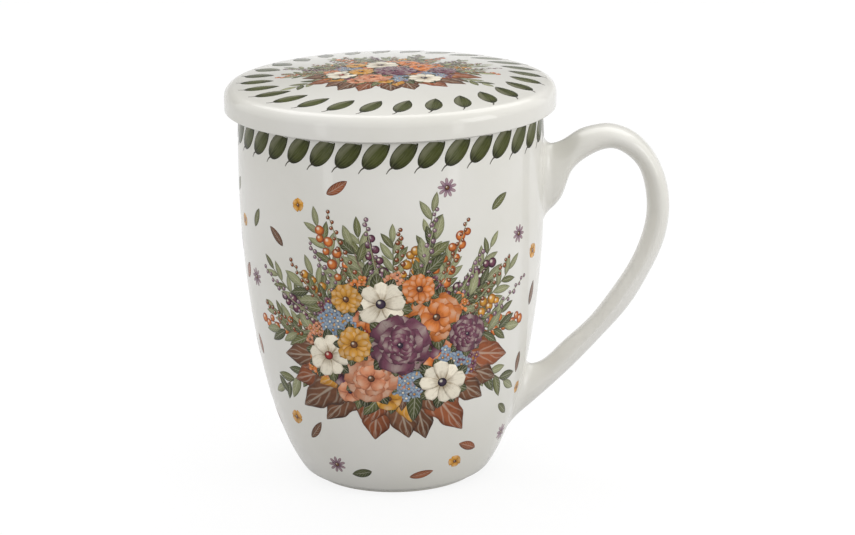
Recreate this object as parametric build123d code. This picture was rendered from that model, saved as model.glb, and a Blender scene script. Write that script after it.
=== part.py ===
from build123d import *
import math
import os

# Mug body: slip-cast porcelain, millimetres, foot on the plane Z = 0, axis on Z
MUG_HEIGHT = 105.3
BELLY_RADIUS = 42.8
BELLY_HEIGHT = 88.0
BASE_RADIUS = 26.1
BASE_ROUND = 3.0
WALL = 3.0
FLOOR = 5.5
FLOOR_ROUND = 8.0
RIM_FLAT = 1.0
FOOT_HEIGHT = 1.2
FOOT_INSET = 2.3
FOOT_WIDTH = 3.0
# Share of a quarter ellipse that the wall follows from its widest height down to its base
WALL_CURVE_SHARE = 0.943

# Handle: reach from the wall to the outermost point, drop from the rim to the top of the loop
HANDLE_REACH = 35.4
HANDLE_DROP = 6.0
HANDLE_LOW = 13.5
HANDLE_WIDTH = 12.0
# Points of the handle's outer and inner edge, from the upper root round to the lower one. Each pair is the
# distance from the wall as a share of the reach, and the height as a share of the handle's height.
HANDLE_OUTER_SHARES = (
    (-0.08, 0.946), (0.05, 0.939), (0.169, 0.955), (0.286, 0.984), (0.412, 0.998), (0.544, 1.0),
    (0.715, 0.973), (0.867, 0.907), (0.963, 0.82), (1.0, 0.723), (0.973, 0.613), (0.885, 0.507),
    (0.762, 0.396), (0.587, 0.292), (0.416, 0.198), (0.236, 0.108), (0.095, 0.038), (-0.043, -0.03),
)
HANDLE_INNER_SHARES = (
    (-0.08, 0.698), (0.04, 0.718), (0.14, 0.766), (0.2, 0.84), (0.315, 0.89), (0.505, 0.923),
    (0.65, 0.901), (0.75, 0.855), (0.805, 0.784), (0.823, 0.708), (0.797, 0.627), (0.722, 0.534),
    (0.594, 0.434), (0.434, 0.331), (0.266, 0.257), (0.133, 0.196), (0.031, 0.185), (-0.09, 0.182),
)
# Width of the handle at each of those sections, as a share of its plain width
HANDLE_WIDTH_SHARES = (
    1.4, 1.27, 1.15, 1.06, 1.01, 1.0, 1.0, 1.0, 1.0, 1.0, 1.0, 1.0, 1.0, 1.0, 1.02, 1.1, 1.22, 1.35,
)

# Lid: loose porcelain disc, slightly domed, with a locating ring below
LID_OVERHANG = 3.8
LID_THICKNESS = 6.6
LID_DOME = 3.6
LID_TOP_ROUND = 2.5
LID_EDGE_ROUND = 1.0
LID_HOLLOW = 2.5
LID_RING_DEPTH = 5.0
LID_RING_WALL = 3.0
LID_RING_ROUND = 0.8
LID_RING_CLEARANCE = 0.8

# Infuser: sheet steel pieces, lapped with a solder gap
SHEET = 0.5
LAP_GAP = 0.06
BEND = 1.0
FLANGE_OVERHANG = 0.8
NECK_CLEARANCE = 1.2
NECK_SPARE = 1.5
SHOULDER_DROP = 6.0
SLEEVE_LENGTH = 5.0
INFUSER_GAP = 5.5
INFUSER_FLOOR_GAP = 30.0
HOOP_HEIGHT = 5.0
HOOP_LIP = 3.0

# Perforations: upright slots in the wall, round holes in rings in the base
SLOT_COLUMNS = 40
SLOT_ROWS = 6
SLOT_WIDTH = 1.2
SLOT_BRIDGE = 2.0
SLOT_MARGIN = 2.0
HOLE_RINGS = 6
HOLE_DIAMETER = 1.8

# How far a cutting shape runs past what it cuts, and how near two heights lie that count as one
OVERRUN = 1.0
SAME_HEIGHT = 0.001

# Sizes that follow from the values above
CURVE_HEIGHT = (BELLY_HEIGHT - FOOT_HEIGHT) / WALL_CURVE_SHARE
CURVE_DEPTH = (BELLY_RADIUS - BASE_RADIUS) / (1 - math.sqrt(1 - WALL_CURVE_SHARE**2))


def wall_turn(height):
    """Angle on the wall's ellipse, in degrees, at a height above the table."""
    return math.degrees(math.asin((height - BELLY_HEIGHT) / CURVE_HEIGHT))


def wall_radius(height):
    """Outer radius of the mug's wall at a height above the table."""
    return BELLY_RADIUS - CURVE_DEPTH * (1 - math.cos(math.radians(wall_turn(height))))


RIM_RADIUS = wall_radius(MUG_HEIGHT)
MOUTH_RADIUS = RIM_RADIUS - WALL
FLOOR_TOP = FOOT_HEIGHT + FLOOR
FOOT_RADIUS = BASE_RADIUS - FOOT_INSET
LID_BOTTOM = MUG_HEIGHT + SHEET
LID_RADIUS = RIM_RADIUS + LID_OVERHANG
NECK_RADIUS = MOUTH_RADIUS - NECK_CLEARANCE
NECK_BOTTOM = MUG_HEIGHT - LID_RING_DEPTH - NECK_SPARE
SLEEVE_TOP = NECK_BOTTOM - SHOULDER_DROP
LID_RING_RADIUS = NECK_RADIUS - SHEET - LID_RING_CLEARANCE
HOOP_BOTTOM = FLOOR_TOP + INFUSER_FLOOR_GAP
TUBE_BOTTOM = HOOP_BOTTOM + SHEET
TUBE_RADIUS = wall_radius(HOOP_BOTTOM) - WALL - INFUSER_GAP
LAP_RADIUS = TUBE_RADIUS + LAP_GAP
SLOTS_BOTTOM = HOOP_BOTTOM + HOOP_HEIGHT + SLOT_MARGIN
SLOTS_TOP = SLEEVE_TOP - SLEEVE_LENGTH - SLOT_MARGIN
SLOT_PITCH = (SLOTS_TOP - SLOTS_BOTTOM + SLOT_BRIDGE) / SLOT_ROWS
SLOT_LENGTH = SLOT_PITCH - SLOT_BRIDGE
HOLE_PITCH = (TUBE_RADIUS - HOOP_LIP - HOLE_DIAMETER) / HOLE_RINGS


def round_block(radius, bottom, top):
    """Upright cylinder on the mug's axis between two heights."""
    block = Cylinder(radius, top - bottom, align=(Align.CENTER, Align.CENTER, Align.MIN))
    return Pos(0, 0, bottom) * block


def domed_block(radius, bottom, shoulder, rise):
    """Upright cylinder on the mug's axis whose top is an arc from its middle down to its shoulder."""
    crown = (0, shoulder + rise)
    dome = TangentArc(crown, (radius, shoulder), tangent=(1, 0))
    ends = Polyline((radius, shoulder), (radius, bottom), (0, bottom), crown)
    return revolve(Plane.XZ * make_face([dome, ends]), Axis.Z)


def bowl(inset, bottom, top):
    """Solid turned under the wall's ellipse, drawn in by an inset, between two heights."""
    centre = (BELLY_RADIUS - CURVE_DEPTH - inset, BELLY_HEIGHT)
    start = wall_turn(bottom)
    side = EllipticalCenterArc(centre, CURVE_DEPTH, CURVE_HEIGHT, start, arc_size=wall_turn(top) - start)
    ends = Polyline(side @ 1, (0, top), (0, bottom), side @ 0)
    return revolve(Plane.XZ * make_face([side, ends]), Axis.Z)


def edges_at(solid, height):
    """Round edges of a turned solid at a height, the widest last."""
    circles = solid.edges().filter_by(GeomType.CIRCLE)
    level = circles.filter_by_position(Axis.Z, height - SAME_HEIGHT, height + SAME_HEIGHT)
    return level.sort_by(SortBy.RADIUS)


def make_envelope():
    """The mug's outside as a filled solid, without its foot ring."""
    body = bowl(0, FOOT_HEIGHT, MUG_HEIGHT)
    return fillet(edges_at(body, FOOT_HEIGHT)[-1], BASE_ROUND)


def make_mug_body(envelope):
    """Porcelain body with a hollow, a rounded rim with a flat land, and a foot ring."""
    hollow = bowl(WALL, FLOOR_TOP, MUG_HEIGHT)
    hollow = fillet(edges_at(hollow, FLOOR_TOP)[-1], FLOOR_ROUND)
    body = envelope - hollow
    body = fillet(edges_at(body, MUG_HEIGHT), (WALL - RIM_FLAT) / 2)
    foot = round_block(FOOT_RADIUS, 0, FOOT_HEIGHT)
    foot -= round_block(FOOT_RADIUS - FOOT_WIDTH, -OVERRUN, FOOT_HEIGHT + OVERRUN)
    return body + foot


def handle_point(shares):
    """Place on the handle's outline from its shares of the reach and of the handle's height."""
    reach_share, height_share = shares
    height = HANDLE_LOW + height_share * (MUG_HEIGHT - HANDLE_DROP - HANDLE_LOW)
    return Vector(wall_radius(height) + reach_share * HANDLE_REACH, 0, height)


def handle_section(outer, inner, width):
    """Oval across the handle, from a point of its outer edge to one of its inner edge."""
    across = outer - inner
    plane = Plane(origin=(outer + inner) / 2, x_dir=across, z_dir=across.cross(Vector(0, 1, 0)))
    quarters = [
        EllipticalCenterArc((0, 0), across.length / 2, width / 2, start, arc_size=90)
        for start in range(0, 360, 90)
    ]
    return plane * make_face(quarters)


def make_handle(envelope):
    """Ear-shaped handle, lofted through ovals and trimmed where it meets the wall."""
    outline = zip(HANDLE_OUTER_SHARES, HANDLE_INNER_SHARES, HANDLE_WIDTH_SHARES)
    sections = []
    for outer_shares, inner_shares, width_share in outline:
        outer = handle_point(outer_shares)
        inner = handle_point(inner_shares)
        sections.append(handle_section(outer, inner, width_share * HANDLE_WIDTH))
    return loft(sections) - envelope


def make_lid():
    """Domed porcelain disc with rounded edges, hollowed inside a locating ring."""
    shoulder = LID_BOTTOM + LID_THICKNESS
    ring_bottom = LID_BOTTOM - LID_RING_DEPTH
    disc = domed_block(LID_RADIUS, LID_BOTTOM, shoulder, LID_DOME)
    disc = fillet(edges_at(disc, shoulder), LID_TOP_ROUND)
    disc = fillet(edges_at(disc, LID_BOTTOM), LID_EDGE_ROUND)
    lid = disc + round_block(LID_RING_RADIUS, ring_bottom, LID_BOTTOM)
    hollow_radius = LID_RING_RADIUS - LID_RING_WALL
    hollow_rise = LID_DOME * (hollow_radius / LID_RADIUS) ** 2
    lid -= domed_block(hollow_radius, ring_bottom - OVERRUN, LID_BOTTOM + LID_HOLLOW, hollow_rise)
    return fillet(edges_at(lid, ring_bottom), LID_RING_ROUND)


def make_infuser_rim():
    """Pressed ring: a flange on the mug's rim, a neck, a sloping shoulder and a sleeve."""
    sleeve_radius = LAP_RADIUS + SHEET
    outside = FilletPolyline(
        (RIM_RADIUS + FLANGE_OVERHANG, MUG_HEIGHT),
        (NECK_RADIUS, MUG_HEIGHT),
        (NECK_RADIUS, NECK_BOTTOM),
        (sleeve_radius, SLEEVE_TOP),
        (sleeve_radius, SLEEVE_TOP - SLEEVE_LENGTH),
        radius=BEND,
    )
    sheet = make_face(offset(outside, SHEET, side=Side.RIGHT))
    return revolve(Plane.XZ * sheet, Axis.Z)


def slot_places():
    """Middles of the wall's slots, in staggered rows between the hoop and the sleeve."""
    first = SLOTS_BOTTOM + SLOT_LENGTH / 2
    for row in range(SLOT_ROWS):
        for column in range(SLOT_COLUMNS):
            turn = 360 * (column + row % 2 / 2) / SLOT_COLUMNS
            yield Pos(0, 0, first + row * SLOT_PITCH) * Rot(0, 0, turn) * Pos(TUBE_RADIUS, 0, 0)


def make_infuser_wall():
    """Rolled tube with upright slots, tucked into the rim's sleeve."""
    tube = round_block(TUBE_RADIUS, TUBE_BOTTOM, SLEEVE_TOP)
    tube -= round_block(TUBE_RADIUS - SHEET, TUBE_BOTTOM - OVERRUN, SLEEVE_TOP + OVERRUN)
    slot = Box(2 * (SHEET + OVERRUN), SLOT_WIDTH, SLOT_LENGTH)
    return tube.cut(*[(place * slot).solid() for place in slot_places()])


def make_infuser_base():
    """Flat disc with rings of round holes, lying on the hoop's lip."""
    radius = TUBE_RADIUS - SHEET - LAP_GAP
    holes = [Circle(HOLE_DIAMETER / 2)]
    for ring in range(1, HOLE_RINGS + 1):
        holes += PolarLocations(ring * HOLE_PITCH, 6 * ring) * Circle(HOLE_DIAMETER / 2)
    disc = Circle(radius).face().make_holes([hole.face().outer_wire() for hole in holes])
    return extrude(Pos(0, 0, TUBE_BOTTOM) * disc, SHEET, dir=(0, 0, 1))


def make_infuser_hoop():
    """Band round the foot of the tube, with a lip turned in below the base."""
    hoop = round_block(LAP_RADIUS + SHEET, HOOP_BOTTOM, HOOP_BOTTOM + HOOP_HEIGHT)
    hoop -= round_block(LAP_RADIUS, TUBE_BOTTOM, HOOP_BOTTOM + HOOP_HEIGHT + OVERRUN)
    return hoop - round_block(TUBE_RADIUS - HOOP_LIP, HOOP_BOTTOM - OVERRUN, TUBE_BOTTOM + OVERRUN)


def main():
    """Write each piece to its own STEP file."""
    os.makedirs("parts", exist_ok=True)
    envelope = make_envelope()
    pieces = {
        "mug_body": make_mug_body(envelope),
        "handle": make_handle(envelope),
        "lid": make_lid(),
        "infuser_rim": make_infuser_rim(),
        "infuser_wall": make_infuser_wall(),
        "infuser_base": make_infuser_base(),
        "infuser_hoop": make_infuser_hoop(),
    }
    for name, shape in pieces.items():
        export_step(shape, f"parts/{name}.step")
        size = shape.bounding_box().size
        print(f"{name}: {shape.volume:.0f} mm3, {size.X:.1f} x {size.Y:.1f} x {size.Z:.1f} mm")


if __name__ == "__main__":
    main()
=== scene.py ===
"""Looks of a lidded porcelain tea mug with a steel infuser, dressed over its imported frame."""
import logging
import math
from dataclasses import dataclass, field, replace
from enum import Enum
from functools import partial
from typing import Callable, Optional, Sequence, Union

import bpy
import numpy as np
from mathutils import Euler, Matrix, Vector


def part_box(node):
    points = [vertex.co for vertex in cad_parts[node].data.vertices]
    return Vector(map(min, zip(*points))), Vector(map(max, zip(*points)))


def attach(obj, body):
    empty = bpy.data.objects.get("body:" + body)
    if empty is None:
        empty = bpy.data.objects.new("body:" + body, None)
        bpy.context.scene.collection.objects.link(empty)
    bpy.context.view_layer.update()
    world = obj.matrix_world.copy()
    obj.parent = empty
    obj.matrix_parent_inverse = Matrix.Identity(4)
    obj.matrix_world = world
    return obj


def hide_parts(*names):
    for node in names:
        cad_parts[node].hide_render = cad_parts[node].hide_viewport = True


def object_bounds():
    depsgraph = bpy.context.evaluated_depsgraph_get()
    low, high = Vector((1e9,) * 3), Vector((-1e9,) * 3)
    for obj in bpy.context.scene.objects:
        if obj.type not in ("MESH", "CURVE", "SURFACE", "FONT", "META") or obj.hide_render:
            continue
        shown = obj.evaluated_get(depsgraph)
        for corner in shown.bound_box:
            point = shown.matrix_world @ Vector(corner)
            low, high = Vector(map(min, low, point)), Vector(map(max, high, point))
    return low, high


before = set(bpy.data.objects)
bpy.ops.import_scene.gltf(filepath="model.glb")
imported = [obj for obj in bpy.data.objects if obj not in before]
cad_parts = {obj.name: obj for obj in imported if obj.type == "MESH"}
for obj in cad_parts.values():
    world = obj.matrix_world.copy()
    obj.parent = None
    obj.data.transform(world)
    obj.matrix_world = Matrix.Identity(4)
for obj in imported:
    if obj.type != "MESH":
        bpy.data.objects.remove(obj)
CAD_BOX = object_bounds()

LOG = logging.getLogger("tea_mug")
MM = 0.001
TURN = math.tau
GOLDEN_ANGLE = math.pi * (3 - math.sqrt(5))
PHOTO_WIDTH = 855
WHITE = (1.0, 1.0, 1.0)
BLACK = (0.0, 0.0, 0.0)

Array = np.ndarray
Values = Union[Array, float]
Colour = tuple[float, float, float]
Pair = tuple[float, float]
Spot = tuple[float, float, float]
Laying = Callable[[Array, Array], Array]


def linear(colour: Sequence[float]) -> Colour:
    """Linear light of a screen colour, by the screen's own curve: a straight foot, then a power.

    Args:
        colour: values from 0 to 255.

    Returns:
        Values from 0 to 1.
    """
    share = np.asarray(colour, float) / 255
    low, high = share / 12.92, ((share + 0.055) / 1.055) ** 2.4
    return tuple(float(v) for v in np.where(share <= 0.04045, low, high))


def top_of(node: str) -> float:
    """Highest point of a node of the frame, in millimetres."""
    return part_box(node)[1].z / MM


def rays(turn: Values) -> Array:
    """Unit steps in directions given in radians."""
    return np.stack([np.cos(turn), np.sin(turn)], axis=-1)


def math_node(operation: str, swapped: bool = False) -> Callable[..., "Sock"]:
    """Method of Sock that adds a Math node.

    Args:
        operation: the node's operation.
        swapped: the other value comes first, as in a reflected form.

    Returns:
        The method, whose other value is 0 where the operation needs none.
    """
    def method(self: "Sock", other: "Input" = 0.0) -> "Sock":
        """Math node of the two values."""
        pair = (other, self) if swapped else (self, other)
        return self.graph.node("ShaderNodeMath", {"operation": operation}, dict(enumerate(pair)))

    return method


def both_ways(operation: str) -> tuple[Callable[..., "Sock"], Callable[..., "Sock"]]:
    """Plain and reflected form of an operator."""
    return math_node(operation), math_node(operation, True)


class Sock:
    """A node's output that takes part in Python sums, each of which adds a Math node."""

    __add__, __radd__ = both_ways("ADD")
    __sub__, __rsub__ = both_ways("SUBTRACT")
    __mul__, __rmul__ = both_ways("MULTIPLY")
    __truediv__, __rtruediv__ = both_ways("DIVIDE")
    __pow__, __rpow__ = both_ways("POWER")
    __abs__ = math_node("ABSOLUTE")
    fract = math_node("FRACT")
    bearing = math_node("ARCTAN2")

    def __init__(self, graph: "Graph", socket: bpy.types.NodeSocket) -> None:
        """Keep the graph and the socket."""
        self.graph, self.socket = graph, socket

    def hypot(self, other: "Sock") -> "Sock":
        """Length of the two values taken as legs."""
        return (self * self + other * other) ** 0.5

    def step(self, low: float, high: float) -> "Sock":
        """Smooth rise from 0 at low to 1 at high."""
        inputs = {"Value": self, "From Min": low, "From Max": high}
        return self.graph.node("ShaderNodeMapRange", {"interpolation_type": "SMOOTHSTEP"}, inputs)


Input = Union[Sock, float, tuple]


class Graph:
    """The node tree of one material or of the world."""

    def __init__(self, name: str, owner: Optional[bpy.types.ID] = None) -> None:
        """Make an empty material, or empty the owner's tree.

        Args:
            name: name of the material.
            owner: world whose tree is used in place of a new material.
        """
        self.owner = owner or bpy.data.materials.new(name)
        self.owner.use_nodes = True
        self.tree = self.owner.node_tree
        self.tree.nodes.clear()

    def node(self, kind: str, settings: Optional[dict] = None, inputs: Optional[dict] = None,
             output: Union[int, str] = 0) -> Sock:
        """Add a node, set it, then fill or link its sockets.

        Args:
            kind: Blender's type of the node.
            settings: attributes of the node.
            inputs: socket name or number to a value or a Sock.
            output: name or number of the output to give back.

        Returns:
            The output as a Sock.
        """
        made = self.tree.nodes.new(kind)
        for key, value in (settings or {}).items():
            setattr(made, key, value)
        for key, value in (inputs or {}).items():
            if isinstance(value, Sock):
                self.tree.links.new(value.socket, made.inputs[key])
            else:
                made.inputs[key].default_value = value
        return Sock(self, made.outputs[output])

    def ray(self, kind: str) -> Sock:
        """1 for rays of a kind, 0 for others."""
        return self.node("ShaderNodeLightPath", output=f"Is {kind} Ray")

    def seen(self) -> Sock:
        """1 for rays from the camera, mirrors and glass, 0 for rays that gather light."""
        hidden = [1 - self.ray(kind) for kind in ("Camera", "Glossy", "Transmission")]
        return 1 - hidden[0] * hidden[1] * hidden[2]

    def place(self) -> Sock:
        """Object coordinates, in metres."""
        return self.node("ShaderNodeTexCoord", output="Object")

    def parts(self, vector: Sock) -> tuple[Sock, ...]:
        """The three values of a vector."""
        split = self.node("ShaderNodeSeparateXYZ", None, {0: vector}).socket.node
        return tuple(Sock(self, output) for output in split.outputs)

    def join(self, *values: Input) -> Sock:
        """A vector from up to three values."""
        return self.node("ShaderNodeCombineXYZ", None, dict(enumerate(values)))

    def noise(self, vector: Sock, scale: float, detail: float = 2.0, rough: float = 0.5) -> Sock:
        """Noise of mean one half at a place."""
        inputs = {"Vector": vector, "Scale": scale, "Detail": detail, "Roughness": rough}
        return self.node("ShaderNodeTexNoise", None, inputs)

    def mix(self, share: Input, first: Input, second: Input) -> Sock:
        """Colour that goes from the first to the second as the share goes from 0 to 1."""
        paint = [value if isinstance(value, Sock) else (*value, 1.0) for value in (first, second)]
        return self.node("ShaderNodeMix", {"data_type": "RGBA"}, {0: share, 6: paint[0], 7: paint[1]}, 2)

    def attribute(self, name: str, output: str = "Color") -> Sock:
        """A colour attribute of the mesh, or with the output Fac a number."""
        return self.node("ShaderNodeAttribute", {"attribute_name": name}, None, output)

    def bump(self, height: Sock, distance: float) -> Sock:
        """Normal of a surface that is raised by the height times the distance."""
        return self.node("ShaderNodeBump", None, {"Height": height, "Distance": distance})

    def close(self, **sockets: Input) -> bpy.types.Material:
        """End the tree in a Principled shader with these sockets, whose names have underscores for spaces."""
        inputs = {name.replace("_", " "): value for name, value in sockets.items()}
        return self.end(self.node("ShaderNodeBsdfPrincipled", None, inputs))

    def end(self, shader: Sock) -> bpy.types.ID:
        """Link a shader to the tree's output.

        Args:
            shader: the shader.

        Returns:
            The material or world that owns the tree.
        """
        kind = "World" if isinstance(self.owner, bpy.types.World) else "Material"
        out = self.tree.nodes.new(f"ShaderNodeOutput{kind}")
        self.tree.links.new(shader.socket, out.inputs[0])
        return self.owner


@dataclass(frozen=True)
class Glaze:
    """Glossy porcelain glaze, with a faint drift of tone, a slow wave in its skin, and a bare foot."""

    name: str
    colour: Colour = (226, 224, 218)
    pooled: Colour = (220, 218, 210)
    bisque: Colour = (222, 214, 200)
    bare_below: float = -1.0
    bare_edge: float = 0.25 * MM
    bare_roughness: float = 0.5
    roughness: float = 0.08
    grain_scale: float = 2600.0
    grain_roughness: float = 0.04
    drift_scale: float = 28.0
    drift_edges: Pair = (0.35, 0.7)
    wave_scale: float = 75.0
    wave_height: float = 0.00003

    def material(self) -> bpy.types.Material:
        """Material of the glaze.

        Returns:
            A Principled material whose tone drifts with a slow noise, with matt clay below bare_below metres.
        """
        graph = Graph(self.name)
        place = graph.place()
        height = graph.parts(place)[2]
        drift = graph.noise(place, self.drift_scale, 3.0).step(*self.drift_edges)
        grain = graph.noise(place, self.grain_scale)
        wave = graph.noise(place, self.wave_scale, 1.0)
        bare = 1 - height.step(self.bare_below, self.bare_below + self.bare_edge)
        tone = graph.mix(drift, linear(self.colour), linear(self.pooled))
        clay = graph.mix(grain, linear(self.bisque), linear(self.pooled))
        return graph.close(
            Base_Color=graph.mix(bare, tone, clay),
            Roughness=self.roughness + (grain - 0.5) * self.grain_roughness + bare * self.bare_roughness,
            Normal=graph.bump(wave, self.wave_height),
        )


@dataclass(frozen=True)
class Steel:
    """Stainless sheet, brushed in rings about the mug's axis."""

    name: str
    roughness: float = 0.24
    colour: Colour = (196, 196, 193)
    shade: Colour = (168, 168, 166)
    line_scale: float = 2600.0
    line_height: float = 0.000004
    line_roughness: float = 0.18
    smear_scale: float = 120.0
    smear_width: float = 0.0004
    smear_roughness: float = 0.1

    def material(self) -> bpy.types.Material:
        """Material of the sheet.

        Returns:
            A metal whose tone, roughness and bump follow fine rings, drawn by noise on the distance from the
            axis and the height, with a slow smear round the ring.
        """
        graph = Graph(self.name)
        place = graph.place()
        across, along, height = graph.parts(place)
        smear = graph.noise(place, self.smear_scale)
        ring = graph.join(across.hypot(along) + smear * self.smear_width, height)
        line = graph.noise(ring, self.line_scale, 3.0, 0.65)
        brushing = (line - 0.5) * self.line_roughness
        return graph.close(
            Base_Color=graph.mix(line.step(0.3, 0.75), linear(self.shade), linear(self.colour)),
            Metallic=1.0,
            Roughness=self.roughness + brushing + (smear - 0.5) * self.smear_roughness,
            Normal=graph.bump(line, self.line_height),
        )


class Brush(Enum):
    """Kinds of painted mark in the print."""

    LEAF = "leaf"
    PETAL = "petal"
    BLADE = "blade"
    BERRY = "berry"
    STEM = "stem"


@dataclass(frozen=True)
class Ink:
    """Fired transfer colour, washed like watercolour between a mark's tint and its deep tone."""

    name: str
    brush: Brush
    roughness: float = 0.12
    specular: float = 0.15
    wash_scale: float = 900.0
    wash_share: float = 0.45
    wash_roughness: float = 0.08
    light: Colour = (240, 234, 214)

    def leaf(self, graph: Graph, along: Sock, across: Sock) -> tuple[Sock, Sock]:
        """Shade and light of a leaf: worn dark edge, dark foot and tip, and veins.

        The veins are a pale midrib with slanted side veins. Where the mesh's count is 1 they run lengthwise
        instead, with a dark midrib, and one half is paler.

        Args:
            graph: the ink's tree.
            along: place along the leaf, from 0 to 1.
            across: place across it, from 0 to 1.

        Returns:
            Its shade and its light.
        """
        edge = abs(across * 2 - 1)
        border = graph.attribute("count", "Fac")
        rim = edge.step(0.45, 1.0) * (graph.noise(graph.place(), 380.0, 3.0) * 1.4)
        rib = 1 - edge.step(0.02, 0.12)
        wave = abs((along * 6.5 - edge * 1.9).fract() - 0.5) * 2
        slanted = (1 - wave.step(0.0, 0.4)) * edge.step(0.05, 0.2) * (1 - edge.step(0.7, 0.95))
        streak = graph.noise(graph.join(across * 6.0, along * 0.9), 2.2).step(0.4, 0.7)
        paler = across.step(0.5, 0.78) * (1 - across.step(0.9, 1.0)) * along.step(0.05, 0.35)
        plain = rim * 0.6 + (1 - along.step(0.0, 0.4)) * 0.4 + along.step(0.65, 1.0) * 0.3
        plain = plain + across.step(0.46, 0.54) * 0.2
        dark = rim * 0.55 + (1 - along.step(0.0, 0.34)) * 0.85 + along.step(0.6, 0.9) * 0.65
        dark = dark + rib * 0.22 - streak * 0.3
        shine = (rib * 0.3 + slanted * 0.2) * (1 - border)
        return plain + (dark - plain) * border, shine + (paler * 0.11 + streak * 0.04) * border

    def blade(self, graph: Graph, along: Sock, across: Sock) -> tuple[Sock, Sock]:
        """Shade and light of one petal: dark foot, worn rim, streaks along it, light on its broad end.

        Args:
            graph: the ink's tree.
            along: place along the petal, from 0 to 1.
            across: place across it, from 0 to 1.

        Returns:
            Its shade and its light.
        """
        edge = abs(across * 2 - 1)
        worn = graph.noise(graph.place(), 520.0, 3.0) * 1.5
        own = graph.attribute("count", "Fac") * 3.1
        streak = graph.noise(graph.join(across * 9.0, along * 1.2, own), 1.5, 3.0)
        rim = edge.step(0.55, 1.0) * 0.45 + along.step(0.9, 1.0) * 0.25
        shade = (1 - along.step(0.05, 0.62)) * 0.85 + rim * worn + (streak - 0.5) * 0.8
        return shade, along.step(0.45, 0.85) * (1 - edge.step(0.1, 0.7)) * streak * 0.5

    def petal(self, graph: Graph, along: Sock, across: Sock) -> tuple[Sock, Sock]:
        """Shade and light of a blossom: dark heart, dark lines between petals, streaks from the heart out.

        Args:
            graph: the ink's tree.
            along: place along the blossom, from 0 to 1.
            across: place across it, from 0 to 1.

        Returns:
            Its shade and its light.
        """
        right, up = along * 2 - 1, across * 2 - 1
        reach = right.hypot(up)
        turn = up.bearing(right) * graph.attribute("count", "Fac") / TURN
        between = abs(turn.fract() - 0.5) * 2
        streak = graph.noise(graph.join(turn * 7.0, reach * 1.3), 1.6)
        seam = (1 - between.step(0.0, 0.3)) * reach.step(0.15, 0.4)
        shade = (1 - reach.step(0.1, 0.55)) * 0.8 + seam * 0.5 + reach.step(0.84, 1.0) * 0.3
        return shade + (streak - 0.5) * 0.9, between.step(0.4, 1.0) * reach.step(0.35, 0.75) * 0.2

    def berry(self, graph: Graph, along: Sock, across: Sock) -> tuple[Sock, Sock]:
        """Shade and light of a berry: dark rim and one soft spot of light.

        Args:
            graph: the ink's tree.
            along: place along the berry, from 0 to 1.
            across: place across it, from 0 to 1.

        Returns:
            Its shade and its light.
        """
        rim = (along * 2 - 1).hypot(across * 2 - 1)
        spot = (along - 0.36).hypot(across - 0.66)
        return rim.step(0.3, 1.0) * 0.9, (1 - spot.step(0.04, 0.24)) * 0.75

    def stem(self, graph: Graph, along: Sock, across: Sock) -> tuple[Sock, Sock]:
        """Shade and light of a stem: dark edges, paler towards its tip."""
        return abs(across * 2 - 1) * 0.6, along * 0.15

    def material(self) -> bpy.types.Material:
        """Material of the ink.

        Returns:
            A glossy material that mixes the mesh's tint and deep colours by the brush's own shade, a wash of
            noise and the brush's lights.
        """
        graph = Graph(self.name)
        along, across, _ = graph.parts(graph.node("ShaderNodeUVMap", {"uv_map": "mark"}))
        shade, light = getattr(self, self.brush.value)(graph, along, across)
        wash = graph.noise(graph.place(), self.wash_scale, 4.0, 0.6)
        depth = shade + (wash - 0.5) * self.wash_share * 2
        paint = graph.mix(depth, graph.attribute("tint"), graph.attribute("deep"))
        return graph.close(
            Base_Color=graph.mix(light, paint, linear(self.light)),
            Roughness=self.roughness + (wash - 0.5) * self.wash_roughness,
            Specular_IOR_Level=self.specular,
        )


def put_mesh(name: str, points: Array, faces: Array, smooth: bool = True) -> bpy.types.Object:
    """Object from whole arrays, turned outwards if it is a closed shell that was wound inwards.

    Args:
        name: name of the piece.
        points: places in millimetres, one row each.
        faces: corners of the quads, one row each; a repeated last corner makes a triangle.
        smooth: shade it smooth.

    Returns:
        The object, at the origin.
    """
    first, second, third, fourth = (points[corner] for corner in faces.T)
    volume = np.einsum("ij,ij->", first, np.cross(second, third) + np.cross(third, fourth))
    if volume < 0:
        faces = faces[:, ::-1]
    mesh = bpy.data.meshes.new(name)
    mesh.from_pydata((points * MM).tolist(), [], [list(dict.fromkeys(quad)) for quad in faces.tolist()])
    mesh.polygons.foreach_set("use_smooth", np.full(len(mesh.polygons), smooth))
    mesh.update()
    made = bpy.data.objects.new(name, mesh)
    bpy.context.scene.collection.objects.link(made)
    return made


def dress(piece: bpy.types.Object, material: bpy.types.Material, body: str, slot: str, *nodes: str) -> None:
    """Give a piece its material and body, hide the nodes that it stands for, and report it.

    Args:
        piece: the piece.
        material: its material.
        body: the body that it moves with.
        slot: the record's slot that its finish belongs to; not used.
        nodes: nodes of the frame that it replaces.
    """
    piece.data.materials.clear()
    piece.data.materials.append(material)
    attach(piece, body)
    if nodes:
        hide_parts(*nodes)
    LOG.info("%s: %d faces on %s", piece.name, len(piece.data.polygons), body)


def grid_faces(rows: int, columns: int, closed: bool = False) -> Array:
    """Quads of a grid of points that are stored row by row.

    Args:
        rows: number of rows.
        columns: points in a row.
        closed: each row is a loop.

    Returns:
        Corners of the quads.
    """
    i, j = np.meshgrid(np.arange(rows - 1), np.arange(columns if closed else columns - 1), indexing="ij")
    right = (j + 1) % columns
    corners = [i * columns + j, i * columns + right, (i + 1) * columns + right, (i + 1) * columns + j]
    return np.stack(corners, axis=-1).reshape(-1, 4)


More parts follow.
